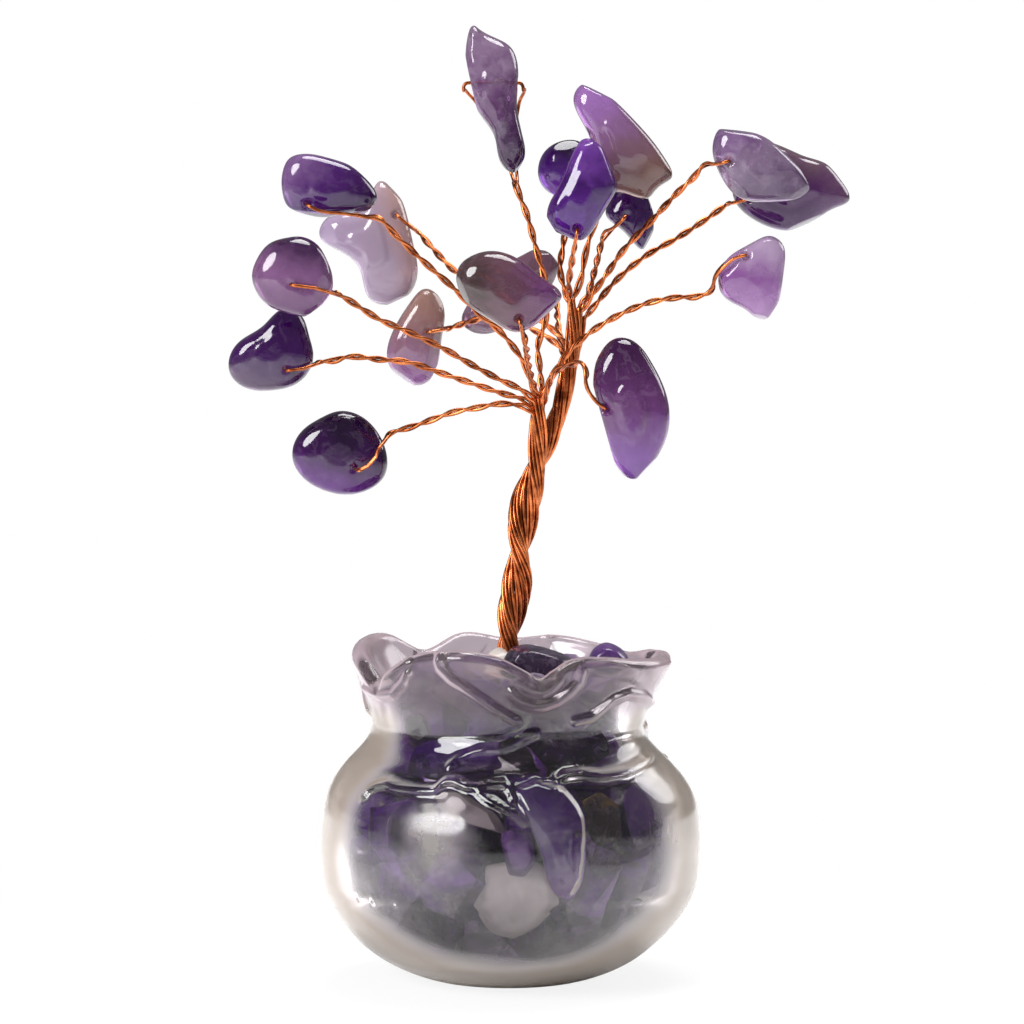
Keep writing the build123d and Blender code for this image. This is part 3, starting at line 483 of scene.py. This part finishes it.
def potMesh():
    around, up, lip, inside = pot["around"], pot["up"], pot["lip"], pot["inside"]
    turns = np.linspace(-180, 180, around, endpoint=False)
    rimHeights = aroundTable(turns, 2)
    lipRadius = pot["wall"] / 2 * pot["lipRound"]
    bodyShare = pot["bodyShare"]
    # outside rows: dense where the folds are
    rows = []
    for k in range(up + 1):
        share = k / up
        if share <= bodyShare:
            z = np.full(around, pot["neck"] * min(share / bodyShare, 1))
        else:
            z = pot["neck"] + (rimHeights - lipRadius - pot["neck"]) * (share - bodyShare) / (1 - bodyShare)
        rows.append((z, outsideRadius(turns, z)))
    heights = np.array([row[0] for row in rows])
    radii = np.array([row[1] for row in rows])
    grid = np.broadcast_to(turns, heights.shape)
    lift = np.zeros(heights.shape)
    valley, beside = pot["valley"]
    for line, width, height in folds:
        away = nearLine(grid, heights, radii, [onPot(*point) for point in line])
        lift = np.maximum(lift, height * np.exp(-((away / width) ** 2)))
        lift = lift - valley * height * np.exp(-(((away - beside * width) / width) ** 2))
    for line, width, height in backFolds:
        away = nearLine(grid, heights, radii, line)
        lift = lift + height * np.exp(-((away / width) ** 2))
    # the sash: a rounded band from the wavy edge up to the neck, and its tail in front
    base, wave, waves, dip, dipTurn, dipReach = sash["low"]
    sashLow = base + wave * np.sin(np.radians(turns * waves)) - dip * np.exp(-(((turns - dipTurn) / dipReach) ** 2))
    base, wave, waves, waveTurn = sash["high"]
    sashHigh = base + wave * np.sin(np.radians(turns * waves + waveTurn))
    lowSoft, highSoft = sash["soft"]
    band = np.clip((heights - sashLow) / lowSoft, 0, 1) * np.clip((sashHigh - heights) / highSoft, 0, 1)
    front = np.exp(-((turns / sash["reach"]) ** 4))
    lift = lift + sash["lift"] * band ** sash["fullness"] * front
    tail = [onPot(*point) for point in tailOutline]
    tailLift, tailSoft, tailFullness = sash["tail"]
    edge = nearLine(grid, heights, radii, tail + tail[:1])
    lift = lift + np.where(insideOutline(grid, heights, tail),
                           np.clip(edge / tailSoft, 0, 1) ** tailFullness * tailLift, 0)
    # soft unevenness of pressed glass
    (size, waves, lean, fade), (fineSize, fineWaves, fineLean) = pot["wobble"]
    wobble = size * np.sin(np.radians(grid * waves + heights * lean)) * np.sin(heights * fade)
    wobble = wobble + fineSize * np.sin(np.radians(grid * fineWaves + heights * fineLean))
    foot = np.clip((heights - pot["footRise"][0]) / pot["footRise"][1], 0, 1)
    radii = radii + (lift + wobble) * foot
    loops = [(heights[k], radii[k]) for k in range(up + 1)]
    topRadii = loops[-1][1]
    for k in range(1, lip):
        angle = math.pi * k / lip
        loops.append((loops[up][0] + lipRadius * math.sin(angle), topRadii - lipRadius * (1 - math.cos(angle))))
    thinStart, thinLength = pot["thinning"]
    for k in range(inside + 1):
        share = (k / inside) ** pot["insidePower"]
        z = (rimHeights - lipRadius) * (1 - share) + pot["floor"] * share
        thinned = 1 - pot["rimThinning"] * np.clip((z - thinStart) / thinLength, 0, 1)
        inner = outsideRadius(turns, z) - pot["wall"] * thinned
        inner = np.where(z < pot["hollow"][-1][0], np.minimum(smoothTable(pot["hollow"], z), inner), inner)
        loops.append((z, inner))
    points = []
    for z, radius in loops:
        x = radius * np.sin(np.radians(turns))
        y = -radius * np.cos(np.radians(turns))
        points.append(np.stack([x, y, z], axis=1))
    points = np.concatenate(points) * mm
    faces = []
    for k in range(len(loops) - 1):
        for i in range(around):
            j = (i + 1) % around
            faces.append((k * around + i, k * around + j, (k + 1) * around + j, (k + 1) * around + i))
    faces.append(tuple(range(around))[::-1])
    last = (len(loops) - 1) * around
    faces.append(tuple(last + i for i in range(around)))
    mesh = bpy.data.meshes.new("pouchPot")
    mesh.from_pydata(points.tolist(), [], faces)
    mesh.validate()
    return mesh


# Clouded glass: pressed soda glass with a matte skin where it left the mold, polished clear over the sash.
# It gives a beige-grey rim, painted shade for thick glass seen edge on, a milky glow on the left of the belly and dark
# clear glass in front.
glass = dict(
    tint="#f0ebee",
    haze="#e8dfd6",
    edge="#9c9086",  # painted shade: the darker beige-grey of deep glass seen edge on
    neckShade="#a4929e",  # painted shade of the collar: the darker lavender-grey of the chips seen behind it
    edgeFacing=(0.36, 0.62),  # how far the wall turns away where the painted edge shade starts and is full
    edgeHaze=0.35,
    edgeMilk=0.72,
    cloudSize=6,  # mm
    cloudRange=(0.5, 0.72),
    cloudHaze=0.25,
    cloudEnd=(17.5, 20),  # mm, heights over which the clouds fade out below the sash
    glow=(-7.4, -16.2, 15.2),  # mm, middle of the matte spot on the left
    glowReach=6.4,  # mm
    foot=0.35,  # mm, height of the ground foot
    low=2.4,  # mm, height to which the mold's matte skin is left
    collar=(25, 27),  # mm, heights over which the matte skin of the collar sets in
    collarHaze=0.26,
    collarShade=3,
    scratchPlace=(15.2, -9, 15),  # mm
    scratchReach=4.2,  # mm
    scratchSize=0.5,  # mm across
    scratchSquash=0.12,  # of the height, so that the scratches stand upright
    scratchRange=(0.5, 0.62),
    scratchGround=0.4,  # haze between the scratches
    smudgeSize=3.5,  # mm
    smudge=(1.1, 0.25, 1.5),  # of the reach: raggedness, full haze, end of the haze
    milk=0.22,
    footMilk=0.5,  # more in the foot
    roughness=(0.03, 0.42),  # clear and matte
    ior=1.5,
    lightDepth=2.5,  # mm
)


def nearSpot(tree, place, spot, reach):
    # 1 at the spot, 0 about a reach away, with a smudged edge
    ragged, full, end = [share * reach * mm for share in glass["smudge"]]
    away = addNode(tree, "ShaderNodeVectorMath", {"operation": "DISTANCE"}, {0: place, 1: Vector(spot) * mm})
    smudge = addNode(tree, "ShaderNodeTexNoise", None,
                     {"Vector": place, "Scale": 1 / (glass["smudgeSize"] * mm), "Detail": 4})
    reached = addNode(tree, "ShaderNodeMath", {"operation": "MULTIPLY_ADD"},
                      {0: smudge.outputs["Fac"], 1: ragged, 2: away.outputs["Value"]})
    return addNode(tree, "ShaderNodeMapRange", {"interpolation_type": "SMOOTHERSTEP"},
                   {"Value": reached.outputs["Value"], "From Min": full, "From Max": end, "To Min": 1, "To Max": 0})


def overHeights(tree, height, start, end, low, high):
    # low below the start, high above the end, in mm
    return addNode(tree, "ShaderNodeMapRange", {"interpolation_type": "SMOOTHSTEP"},
                   {"Value": height, "From Min": start * mm, "From Max": end * mm, "To Min": low, "To Max": high})


def glassMaterial():
    material, tree, output, place = newMaterial("pressedCloudyGlass")
    height = addNode(tree, "ShaderNodeSeparateXYZ", None, {0: place}).outputs["Z"]
    patches = addNode(tree, "ShaderNodeTexNoise", None,
                      {"Vector": place, "Scale": 1 / (glass["cloudSize"] * mm), "Detail": 5, "Roughness": 0.62})
    cloud = addNode(tree, "ShaderNodeMapRange", None,
                    {"Value": patches.outputs["Fac"], "From Min": glass["cloudRange"][0],
                     "From Max": glass["cloudRange"][1], "To Min": 0, "To Max": glass["cloudHaze"]})
    belowSash = overHeights(tree, height, *glass["cloudEnd"], 1, 0)
    cloud = addNode(tree, "ShaderNodeMath", {"operation": "MULTIPLY"},
                    {0: cloud.outputs["Result"], 1: belowSash.outputs["Result"]})
    spot = nearSpot(tree, place, glass["glow"], glass["glowReach"])
    foot = addNode(tree, "ShaderNodeMath", {"operation": "LESS_THAN"}, {0: height, 1: glass["foot"] * mm})
    low = overHeights(tree, height, 0, glass["low"], 1, 0)
    collar = overHeights(tree, height, *glass["collar"], 0, glass["collarHaze"])
    # frosted scratches: noise drawn out upright, where the pot was rubbed on the right
    stretch = addNode(tree, "ShaderNodeVectorMath", {"operation": "MULTIPLY"},
                      {0: place, 1: (1, 1, glass["scratchSquash"])})
    lines = addNode(tree, "ShaderNodeTexNoise", None,
                    {"Vector": stretch.outputs["Vector"], "Scale": 1 / (glass["scratchSize"] * mm), "Detail": 3})
    streak = addNode(tree, "ShaderNodeMapRange", None,
                     {"Value": lines.outputs["Fac"], "From Min": glass["scratchRange"][0],
                      "From Max": glass["scratchRange"][1], "To Min": glass["scratchGround"], "To Max": 1})
    rubbed = nearSpot(tree, place, glass["scratchPlace"], glass["scratchReach"])
    scratch = addNode(tree, "ShaderNodeMath", {"operation": "MULTIPLY"},
                      {0: streak.outputs["Result"], 1: rubbed.outputs["Result"]})
    # painted shade of deep glass seen edge on, at the edges of the pot
    facing = addNode(tree, "ShaderNodeLayerWeight", None, {"Blend": 0.5})
    rim = addNode(tree, "ShaderNodeMapRange", {"interpolation_type": "SMOOTHSTEP"},
                  {"Value": facing.outputs["Facing"], "From Min": glass["edgeFacing"][0],
                   "From Max": glass["edgeFacing"][1], "To Min": 0, "To Max": 1})
    edge = addNode(tree, "ShaderNodeMath", {"operation": "MULTIPLY"}, {0: rim.outputs["Result"], 1: glass["edgeHaze"]})
    haze = spot.outputs["Result"]
    for other in (low.outputs["Result"], collar.outputs["Result"], scratch.outputs["Value"],
                  cloud.outputs["Value"], foot.outputs["Value"], edge.outputs["Value"]):
        haze = addNode(tree, "ShaderNodeMath", {"operation": "MAXIMUM"}, {0: haze, 1: other}).outputs["Value"]
    # milk is the share of the light that the glass scatters and doesn't pass
    thick = addNode(tree, "ShaderNodeMath", {"operation": "MAXIMUM"},
                    {0: foot.outputs["Value"], 1: low.outputs["Result"]})
    milk = addNode(tree, "ShaderNodeMath", {"operation": "MULTIPLY_ADD"},
                   {0: thick.outputs["Value"], 1: glass["footMilk"], 2: glass["milk"]})
    milky = addNode(tree, "ShaderNodeMath", {"operation": "MULTIPLY"}, {0: haze, 1: milk.outputs["Value"]})
    deep = addNode(tree, "ShaderNodeMath", {"operation": "MULTIPLY"}, {0: rim.outputs["Result"], 1: glass["edgeMilk"]})
    milky = addNode(tree, "ShaderNodeMath", {"operation": "MAXIMUM"},
                    {0: milky.outputs["Value"], 1: deep.outputs["Value"]})
    clear = addNode(tree, "ShaderNodeMath", {"operation": "SUBTRACT"}, {0: 1, 1: milky.outputs["Value"]})
    rough = addNode(tree, "ShaderNodeMapRange", None,
                    {"Value": haze, "To Min": glass["roughness"][0], "To Max": glass["roughness"][1]})
    # painted shade: the collar's color turns to that of the chips behind it as its matte skin sets in
    paintedNeckShadeShare = addNode(tree, "ShaderNodeMath", {"operation": "MULTIPLY", "use_clamp": True},
                    {0: collar.outputs["Result"], 1: glass["collarShade"]})
    # haze color, then painted shade: the edge color of deep glass seen edge on, and the collar's darker color
    color = hexColor(glass["tint"])
    for share, name in ((haze, "haze"), (rim.outputs["Result"], "edge"), (paintedNeckShadeShare.outputs["Value"], "neckShade")):
        color = addNode(tree, "ShaderNodeMix", {"data_type": "RGBA"},
                        {"Factor": share, "A": color, "B": hexColor(glass[name])}).outputs["Result"]
    shader = addNode(tree, "ShaderNodeBsdfPrincipled", None,
                     {"Base Color": color, "Roughness": rough.outputs["Result"], "IOR": glass["ior"],
                      "Transmission Weight": clear.outputs["Value"], "Subsurface Weight": 1,
                      "Subsurface Scale": glass["lightDepth"] * mm, "Subsurface Radius": (1, 0.92, 0.86)})
    tree.links.new(shader.outputs["BSDF"], output.inputs["Surface"])
    return material


addPiece("pouchPot", potMesh(), glassMaterial(), "tree", ["glass_pot"])
print("pot pressed")

# Filling: tumbled amethyst chips packed against the glass, one for each block of the solid model.
# Most are smoky violet, with painted shade: dark, and darkest towards the bottom of the pile, since little light comes
# through it.
chips = dict(
    corners=20,
    swell=(1.2, 1.22, 1.32),  # radial, around, up
    lowSwell=(1.25, 1.5, 1.8),  # in the two lowest layers, which lie close on the glass
    tilt=22,  # degrees
    shift=0.35,  # mm
    wallGap=0.12,  # mm to the glass
    floorGap=0.3,  # mm
    outerShare=0.85,  # blocks that reach past this share of the widest are pushed to the glass
    round=0.55,  # mm
    room=2.6,  # mm kept free round the chips that have a place of their own
    topHeight=29.4,  # mm, highest of the heap
    topSink=(1, 1.5),  # of half the chip's height
    squareness=3.2,
    cornerRange=(0.86, 1.08),
    sections=((0.74, -1), (1.05, -0.3), (1.05, 0.3), (0.74, 1)),  # size and depth of a single chip's outlines
    singleRound=0.5,  # mm
)
# painted shade: with the way pointing up, the colors run from near black at the bottom of the pile to pale at its top
chipLookWithPaintedShade = dict(
    zones=((0.1, "#14041f"), (0.42, "#3a0c5c"), (0.62, "#5a2088"), (0.8, "#5c3470"), (0.97, "#8a7a90")),
    way=(0, 0, 1), mottle=1.7, patch=4, clear=0.15, veins=0.06, dense=60, roughness=0.22)
# chips that can be told apart: outline in picture points, depth of the middle and thickness in mm
singleChips = (
    dict(name="paleQuartzChip", depth=-12.6, thick=3.6,
         outline=((478, 868), (520, 862), (556, 870), (558, 905), (536, 924), (515, 936), (493, 930), (474, 907)),
         zones=((0.2, "#a09898"), (0.8, "#dad3d0")), clear=0.35, dense=10),
    dict(name="lavenderChip", depth=-13.9, thick=3,
         outline=((500, 838), (516, 832), (530, 836), (534, 862), (524, 876), (508, 874)),
         zones=((0.2, "#5c2f80"), (0.6, "#9a6cbe"), (0.9, "#6a4490")), clear=0.5, dense=15),
    # painted highlight: the pale colors of this chip stand for a facet catching the light from the left
    dict(name="facetedWhiteChip", depth=-12.8, thick=3,
         outline=((436, 800), (462, 798), (494, 815), (506, 838), (480, 832), (450, 822)),
         zones=((0.2, "#7c7078"), (0.7, "#bdb2b6")), clear=0.35, dense=10),
    dict(name="violetTailChip", depth=-13.4, thick=3.4,
         outline=((516, 786), (552, 786), (574, 806), (580, 838), (578, 872), (568, 892), (556, 884), (546, 850),
                  (530, 818)),
         zones=((0.1, "#9058bc"), (0.4, "#5e1896"), (0.9, "#420c70")), clear=0.35, dense=25),
    dict(name="brownChip", depth=-12.6, thick=3.4,
         outline=((580, 806), (602, 800), (622, 812), (618, 840), (596, 848), (582, 836)),
         zones=((0.2, "#1a0e14"), (0.65, "#35222a"), (0.95, "#8a6a3c")), clear=0.15, dense=60),
    dict(name="purpleSideChip", depth=-10, thick=3.4,
         outline=((622, 800), (642, 794), (652, 815), (650, 846), (632, 852), (622, 836)),
         zones=((0.2, "#340e58"), (0.7, "#642a90")), clear=0.3, dense=30),
    # painted shade, in part: these chips lie behind the sash, and their dark colors also stand for the shade of the
    # thick glass there
    dict(name="violetSashChip", depth=-11, thick=3.6,
         outline=((388, 750), (440, 744), (498, 748), (506, 772), (448, 784), (396, 780)),
         zones=((0.2, "#1e0638"), (0.6, "#441470"), (0.9, "#602a94")), clear=0.3, dense=60),
    dict(name="darkSashChip", depth=-11, thick=3.6,
         outline=((490, 752), (560, 742), (634, 738), (648, 748), (636, 765), (580, 776), (500, 780)),
         zones=((0.2, "#08020f"), (0.6, "#220838"), (0.9, "#3c1262")), clear=0.15, dense=80),
    dict(name="darkNeckChip", depth=-8.8, thick=2.6,
         outline=((384, 718), (412, 714), (420, 734), (408, 744), (386, 742)),
         zones=((0.2, "#040108"), (0.9, "#1a0a24")), clear=0.1, dense=80),
    dict(name="darkTopChip", depth=-2.5, thick=5,
         outline=((503, 662), (512, 648), (530, 644), (548, 651), (566, 655), (576, 664), (560, 676), (528, 678)),
         zones=((0.2, "#140a1c"), (0.6, "#2f2038"), (0.9, "#5f5068")), clear=0.2, dense=60),
    dict(name="purpleTopChip", depth=3, thick=4.6,
         outline=((588, 664), (592, 650), (606, 642), (622, 649), (632, 664), (610, 676)),
         zones=((0.2, "#34144e"), (0.7, "#5a3478")), clear=0.35, dense=40),
)


def looseParts(mesh):
    # the points of each separate solid in a mesh
    parent = list(range(len(mesh.vertices)))

    def root(k):
        while parent[k] != k:
            parent[k] = parent[parent[k]]
            k = parent[k]
        return k

    seen = {}
    for vertex in mesh.vertices:
        key = tuple(round(c / mm, 3) for c in vertex.co)
        if key in seen:
            parent[root(vertex.index)] = root(seen[key])
        seen[key] = vertex.index
    for edge in mesh.edges:
        parent[root(edge.vertices[0])] = root(edge.vertices[1])
    parts = {}
    for vertex in mesh.vertices:
        parts.setdefault(root(vertex.index), []).append(vertex.co.copy())
    return list(parts.values())


def insideRadius(turn, z):
    # the pot's inner wall, with its rounded floor
    inner = float(outsideRadius(np.array(turn), np.array(z))) - pot["wall"]
    return min(inner, float(smoothTable(pot["hollow"], np.array(z)))) if z < pot["hollow"][-1][0] else inner


def keepInside(point):
    # the point, moved in to the glass where it goes past it
    z = max(point.z / mm, pot["floor"] + chips["wallGap"])
    turn = math.degrees(math.atan2(point.x, -point.y))
    radius = math.hypot(point.x, point.y) / mm
    most = insideRadius(turn, z) - chips["wallGap"]
    share = min(1, most / max(radius, 0.001))
    return Vector((point.x * share, point.y * share, z * mm))


def hullMesh(points, name):
    one = bmesh.new()
    for point in points:
        one.verts.new(keepInside(point))
    hull = bmesh.ops.convex_hull(one, input=one.verts)
    loose = [item for item in hull["geom_interior"] if isinstance(item, bmesh.types.BMVert)]
    bmesh.ops.delete(one, geom=loose, context="VERTS")
    mesh = bpy.data.meshes.new(name)
    one.to_mesh(mesh)
    one.free()
    return mesh


def pebble(maker, middle, half, spin, corners):
    # hull of a few points scattered on a rounded block: an amethyst chip with soft flats
    power = chips["squareness"]
    points = []
    for corner in range(corners):
        way = Vector([maker.gauss(0, 1) for axis in range(3)]).normalized()
        way = way / sum(abs(c) ** power for c in way) ** (1 / power) * maker.uniform(*chips["cornerRange"])
        points.append(middle + spin @ Vector([way[axis] * half[axis] for axis in range(3)]))
    return hullMesh(points, "chip")


def outlineChip(single):
    # a rounded plate with the outline that shows in the picture
    depth, half = single["depth"] * mm, single["thick"] * mm / 2
    outline = [fromPicture(px, py, depth) for px, py in single["outline"]]
    middle = sum(outline, Vector()) / len(outline)
    points = [middle + (spot - middle) * share + Vector((0, half * way, 0))
              for share, way in chips["sections"] for spot in outline]
    return hullMesh(points, single["name"]), middle


def roundEdges(piece, width, levels):
    bevel = piece.modifiers.new("edges", "BEVEL")
    bevel.width = width * mm
    bevel.segments = 2
    bevel.limit_method = "ANGLE"
    rounder = piece.modifiers.new("rounding", "SUBSURF")
    rounder.levels = rounder.render_levels = levels


def chipsMesh(node, seed):
    # one chip for each block of the node
    maker = random.Random(seed)
    joined = bmesh.new()
    blocks = []
    for part in looseParts(node.data):
        middle = sum(part, Vector()) / len(part)
        radial = Vector((middle.x, middle.y, 0)).normalized()
        outs = [point.dot(radial) for point in part]
        heights = [point.z for point in part]
        around = max(abs((point - middle).dot(Vector((-radial.y, radial.x, 0)))) for point in part)
        blocks.append((radial, min(outs), max(outs), min(heights), max(heights), around))
    farthest = max(block[2] for block in blocks)
    taken = [outlineChip(single)[1] for single in singleChips]
    for radial, near, far, low, high, around in blocks:
        turn = math.degrees(math.atan2(radial.x, -radial.y))
        heart = radial * (near + far) / 2 + Vector((0, 0, (low + high) / 2))
        if min((heart - spot).length for spot in taken) < chips["room"] * mm:
            continue
        wall = (insideRadius(turn, (low + high) / 2 / mm) - chips["wallGap"]) * mm
        reach = wall if far > chips["outerShare"] * farthest else far
        around = around * (near + reach) / (near + far)
        middle = radial * ((near + reach) / 2) + Vector((0, 0, (low + high) / 2))
        middle = middle + Vector([maker.uniform(-1, 1) * chips["shift"] * mm for axis in range(3)])
        if node.name == "filling_floor":
            low = (pot["floor"] + chips["floorGap"]) * mm
            middle.z = (low + high) / 2
        sizes = ((reach - near) / 2, around, (high - low) / 2)
        if node.name == "filling_top":
            middle.z = min(middle.z, chips["topHeight"] * mm - sizes[2] * maker.uniform(*chips["topSink"]))
        swells = chips["lowSwell" if node.name in ("filling_floor", "filling_lower") else "swell"]
        half = [size * swell for size, swell in zip(sizes, swells)]
        spin = Matrix.Rotation(math.atan2(radial.y, radial.x), 3, "Z")
        for axis in "XYZ":
            spin = spin @ Matrix.Rotation(math.radians(maker.uniform(-1, 1) * chips["tilt"]), 3, axis)
        mesh = pebble(maker, middle, half, spin, chips["corners"])
        joined.from_mesh(mesh)
        bpy.data.meshes.remove(mesh)
    mesh = bpy.data.meshes.new(node.name + "Chips")
    joined.to_mesh(mesh)
    joined.free()
    return mesh


chipMaterial = amethystMaterial("roughTumbledAmethyst", Vector((0, 0, 0.015)), 0.018, {**stoneDefaults, **chipLookWithPaintedShade})
for seed, name in enumerate(sorted(n for n in frame["nodes"] if n.startswith("filling"))):
    mesh = chipsMesh(frame["nodes"][name], 7 + seed)
    piece = addPiece(name.replace("_", "") + "Chips", mesh, chipMaterial, "tree", [name])
    roundEdges(piece, chips["round"], 1)
for single in singleChips:
    mesh, middle = outlineChip(single)
    reach = max((vertex.co - middle).length for vertex in mesh.vertices)
    look = {**stoneDefaults, **chipLookWithPaintedShade, "way": (0.3, 0, 1), "mottle": 0.8, "patch": 2.5, **single}
    material = amethystMaterial(single["name"] + "Stone", middle, reach, look)
    piece = addPiece(single["name"], mesh, material, "tree")
    roundEdges(piece, chips["singleRound"], 2)
print("chips filled")

# Glue: half-clear glue set in a drop round the foot of the trunk. It gives a small pale wet spot.
drop = dict(
    color="#f4ece4",
    roughness=0.12,
    clear=0.45,
    ior=1.5,
    at=(504, 655),  # picture point of its upper part
    sink=1.1,  # mm, from there to its middle
    half=(2.5, 2.3, 1.9),  # mm
    corners=30,
)
glueMaterial, tree, output, place = newMaterial("setGlue")
shader = addNode(tree, "ShaderNodeBsdfPrincipled", None,
                 {"Base Color": hexColor(drop["color"]), "Roughness": drop["roughness"], "IOR": drop["ior"],
                  "Transmission Weight": drop["clear"]})
tree.links.new(shader.outputs["BSDF"], output.inputs["Surface"])
glue = frame["nodes"]["glue_plug"]
glue.data.materials.clear()
glue.data.materials.append(glueMaterial)
middle = fromPicture(*drop["at"], 0) - Vector((0, 0, drop["sink"] * mm))
lump = pebble(random.Random(5), middle, [size * mm for size in drop["half"]], Matrix.Identity(3), drop["corners"])
piece = addPiece("glueLump", lump, glueMaterial, "tree")
rounder = piece.modifiers.new("rounding", "SUBSURF")
rounder.levels = rounder.render_levels = 2
print("glue set")

# Stage: white table and backdrop, soft light from the left and above
stage = dict(
    tableHalf=1.5,
    tableDrop=0.02 * mm,
    table="#f4f4f4",  # painted matte white: it keeps the soft shadow
    shadow=(20 * mm, 70 * mm, 0.86),  # from the axis: full to here, gone from here, brightness at the axis
    roomLight=0.55,
    roomGloss=0.2,  # what the gloss shows of the room
    aim=(0, 0, 0.045),
)
lamps = (
    dict(name="softboxLeft", at=(-0.36, -0.32, 0.29), size=0.3, power=3.4),
    dict(name="softboxRight", at=(0.40, 0.32, 0.28), size=0.3, power=0.9),
    dict(name="topLight", at=(0.05, 0.10, 0.45), size=0.3, power=2.0),
)


def seenDirectly(tree):
    # 1 for rays from the camera that met nothing or only went through glass
    ray = addNode(tree, "ShaderNodeLightPath")
    seen = addNode(tree, "ShaderNodeMath", {"operation": "MAXIMUM"},
                   {0: ray.outputs["Is Camera Ray"], 1: ray.outputs["Is Transmission Ray"]})
    turned = addNode(tree, "ShaderNodeMath", {"operation": "ADD"},
                     {0: ray.outputs["Diffuse Depth"], 1: ray.outputs["Glossy Depth"]})
    straight = addNode(tree, "ShaderNodeMath", {"operation": "LESS_THAN"}, {0: turned.outputs["Value"], 1: 0.5})
    direct = addNode(tree, "ShaderNodeMath", {"operation": "MULTIPLY"},
                     {0: seen.outputs["Value"], 1: straight.outputs["Value"]})
    return ray, direct.outputs["Value"]


floorMesh = bpy.data.meshes.new("table")
half = stage["tableHalf"]
floorMesh.from_pydata([(-half, -half, 0), (half, -half, 0), (half, half, 0), (-half, half, 0)], [], [(0, 1, 2, 3)])
floor = bpy.data.objects.new("table", floorMesh)
scene.collection.objects.link(floor)
floor.location.z = -stage["tableDrop"]
floorMaterial, tree, output, place = newMaterial("whiteTable")
ray, direct = seenDirectly(tree)
fromPot = addNode(tree, "ShaderNodeVectorMath", {"operation": "LENGTH"}, {0: place})
near, far, dim = stage["shadow"]
fade = addNode(tree, "ShaderNodeMapRange", None,
               {"Value": fromPot.outputs["Value"], "From Min": near, "From Max": far, "To Min": dim, "To Max": 1})
share = addNode(tree, "ShaderNodeMath", {"operation": "MULTIPLY"}, {0: direct, 1: fade.outputs["Result"]})
matte = addNode(tree, "ShaderNodeBsdfDiffuse", None, {"Color": hexColor(stage["table"])})
glow = addNode(tree, "ShaderNodeEmission", None, {"Color": (1, 1, 1, 1), "Strength": 1})
mix = addNode(tree, "ShaderNodeMixShader", None,
              {"Fac": share.outputs["Value"], 1: matte.outputs["BSDF"], 2: glow.outputs["Emission"]})
tree.links.new(mix.outputs["Shader"], output.inputs["Surface"])
floorMesh.materials.append(floorMaterial)

world = bpy.data.worlds.new("studio")
scene.world = world
world.use_nodes = True
tree = world.node_tree
tree.nodes.clear()
output = addNode(tree, "ShaderNodeOutputWorld")
ray, direct = seenDirectly(tree)
room = addNode(tree, "ShaderNodeMapRange", None,
               {"Value": ray.outputs["Is Glossy Ray"], "To Min": stage["roomLight"], "To Max": stage["roomGloss"]})
strength = addNode(tree, "ShaderNodeMapRange", None,
                   {"Value": direct, "To Min": room.outputs["Result"], "To Max": 1})
sky = addNode(tree, "ShaderNodeBackground", None, {"Color": (1, 1, 1, 1), "Strength": strength.outputs["Result"]})
tree.links.new(sky.outputs["Background"], output.inputs["Surface"])

for lamp in lamps:
    data = bpy.data.lights.new(lamp["name"], "AREA")
    data.shape = "DISK"
    data.size = lamp["size"]
    data.energy = lamp["power"]
    lampObject = bpy.data.objects.new(lamp["name"], data)
    scene.collection.objects.link(lampObject)
    lampObject.location = lamp["at"]
    lampWay = Vector(stage["aim"]) - Vector(lamp["at"])
    lampObject.rotation_euler = lampWay.to_track_quat("-Z", "Y").to_euler()
print("stage lit")
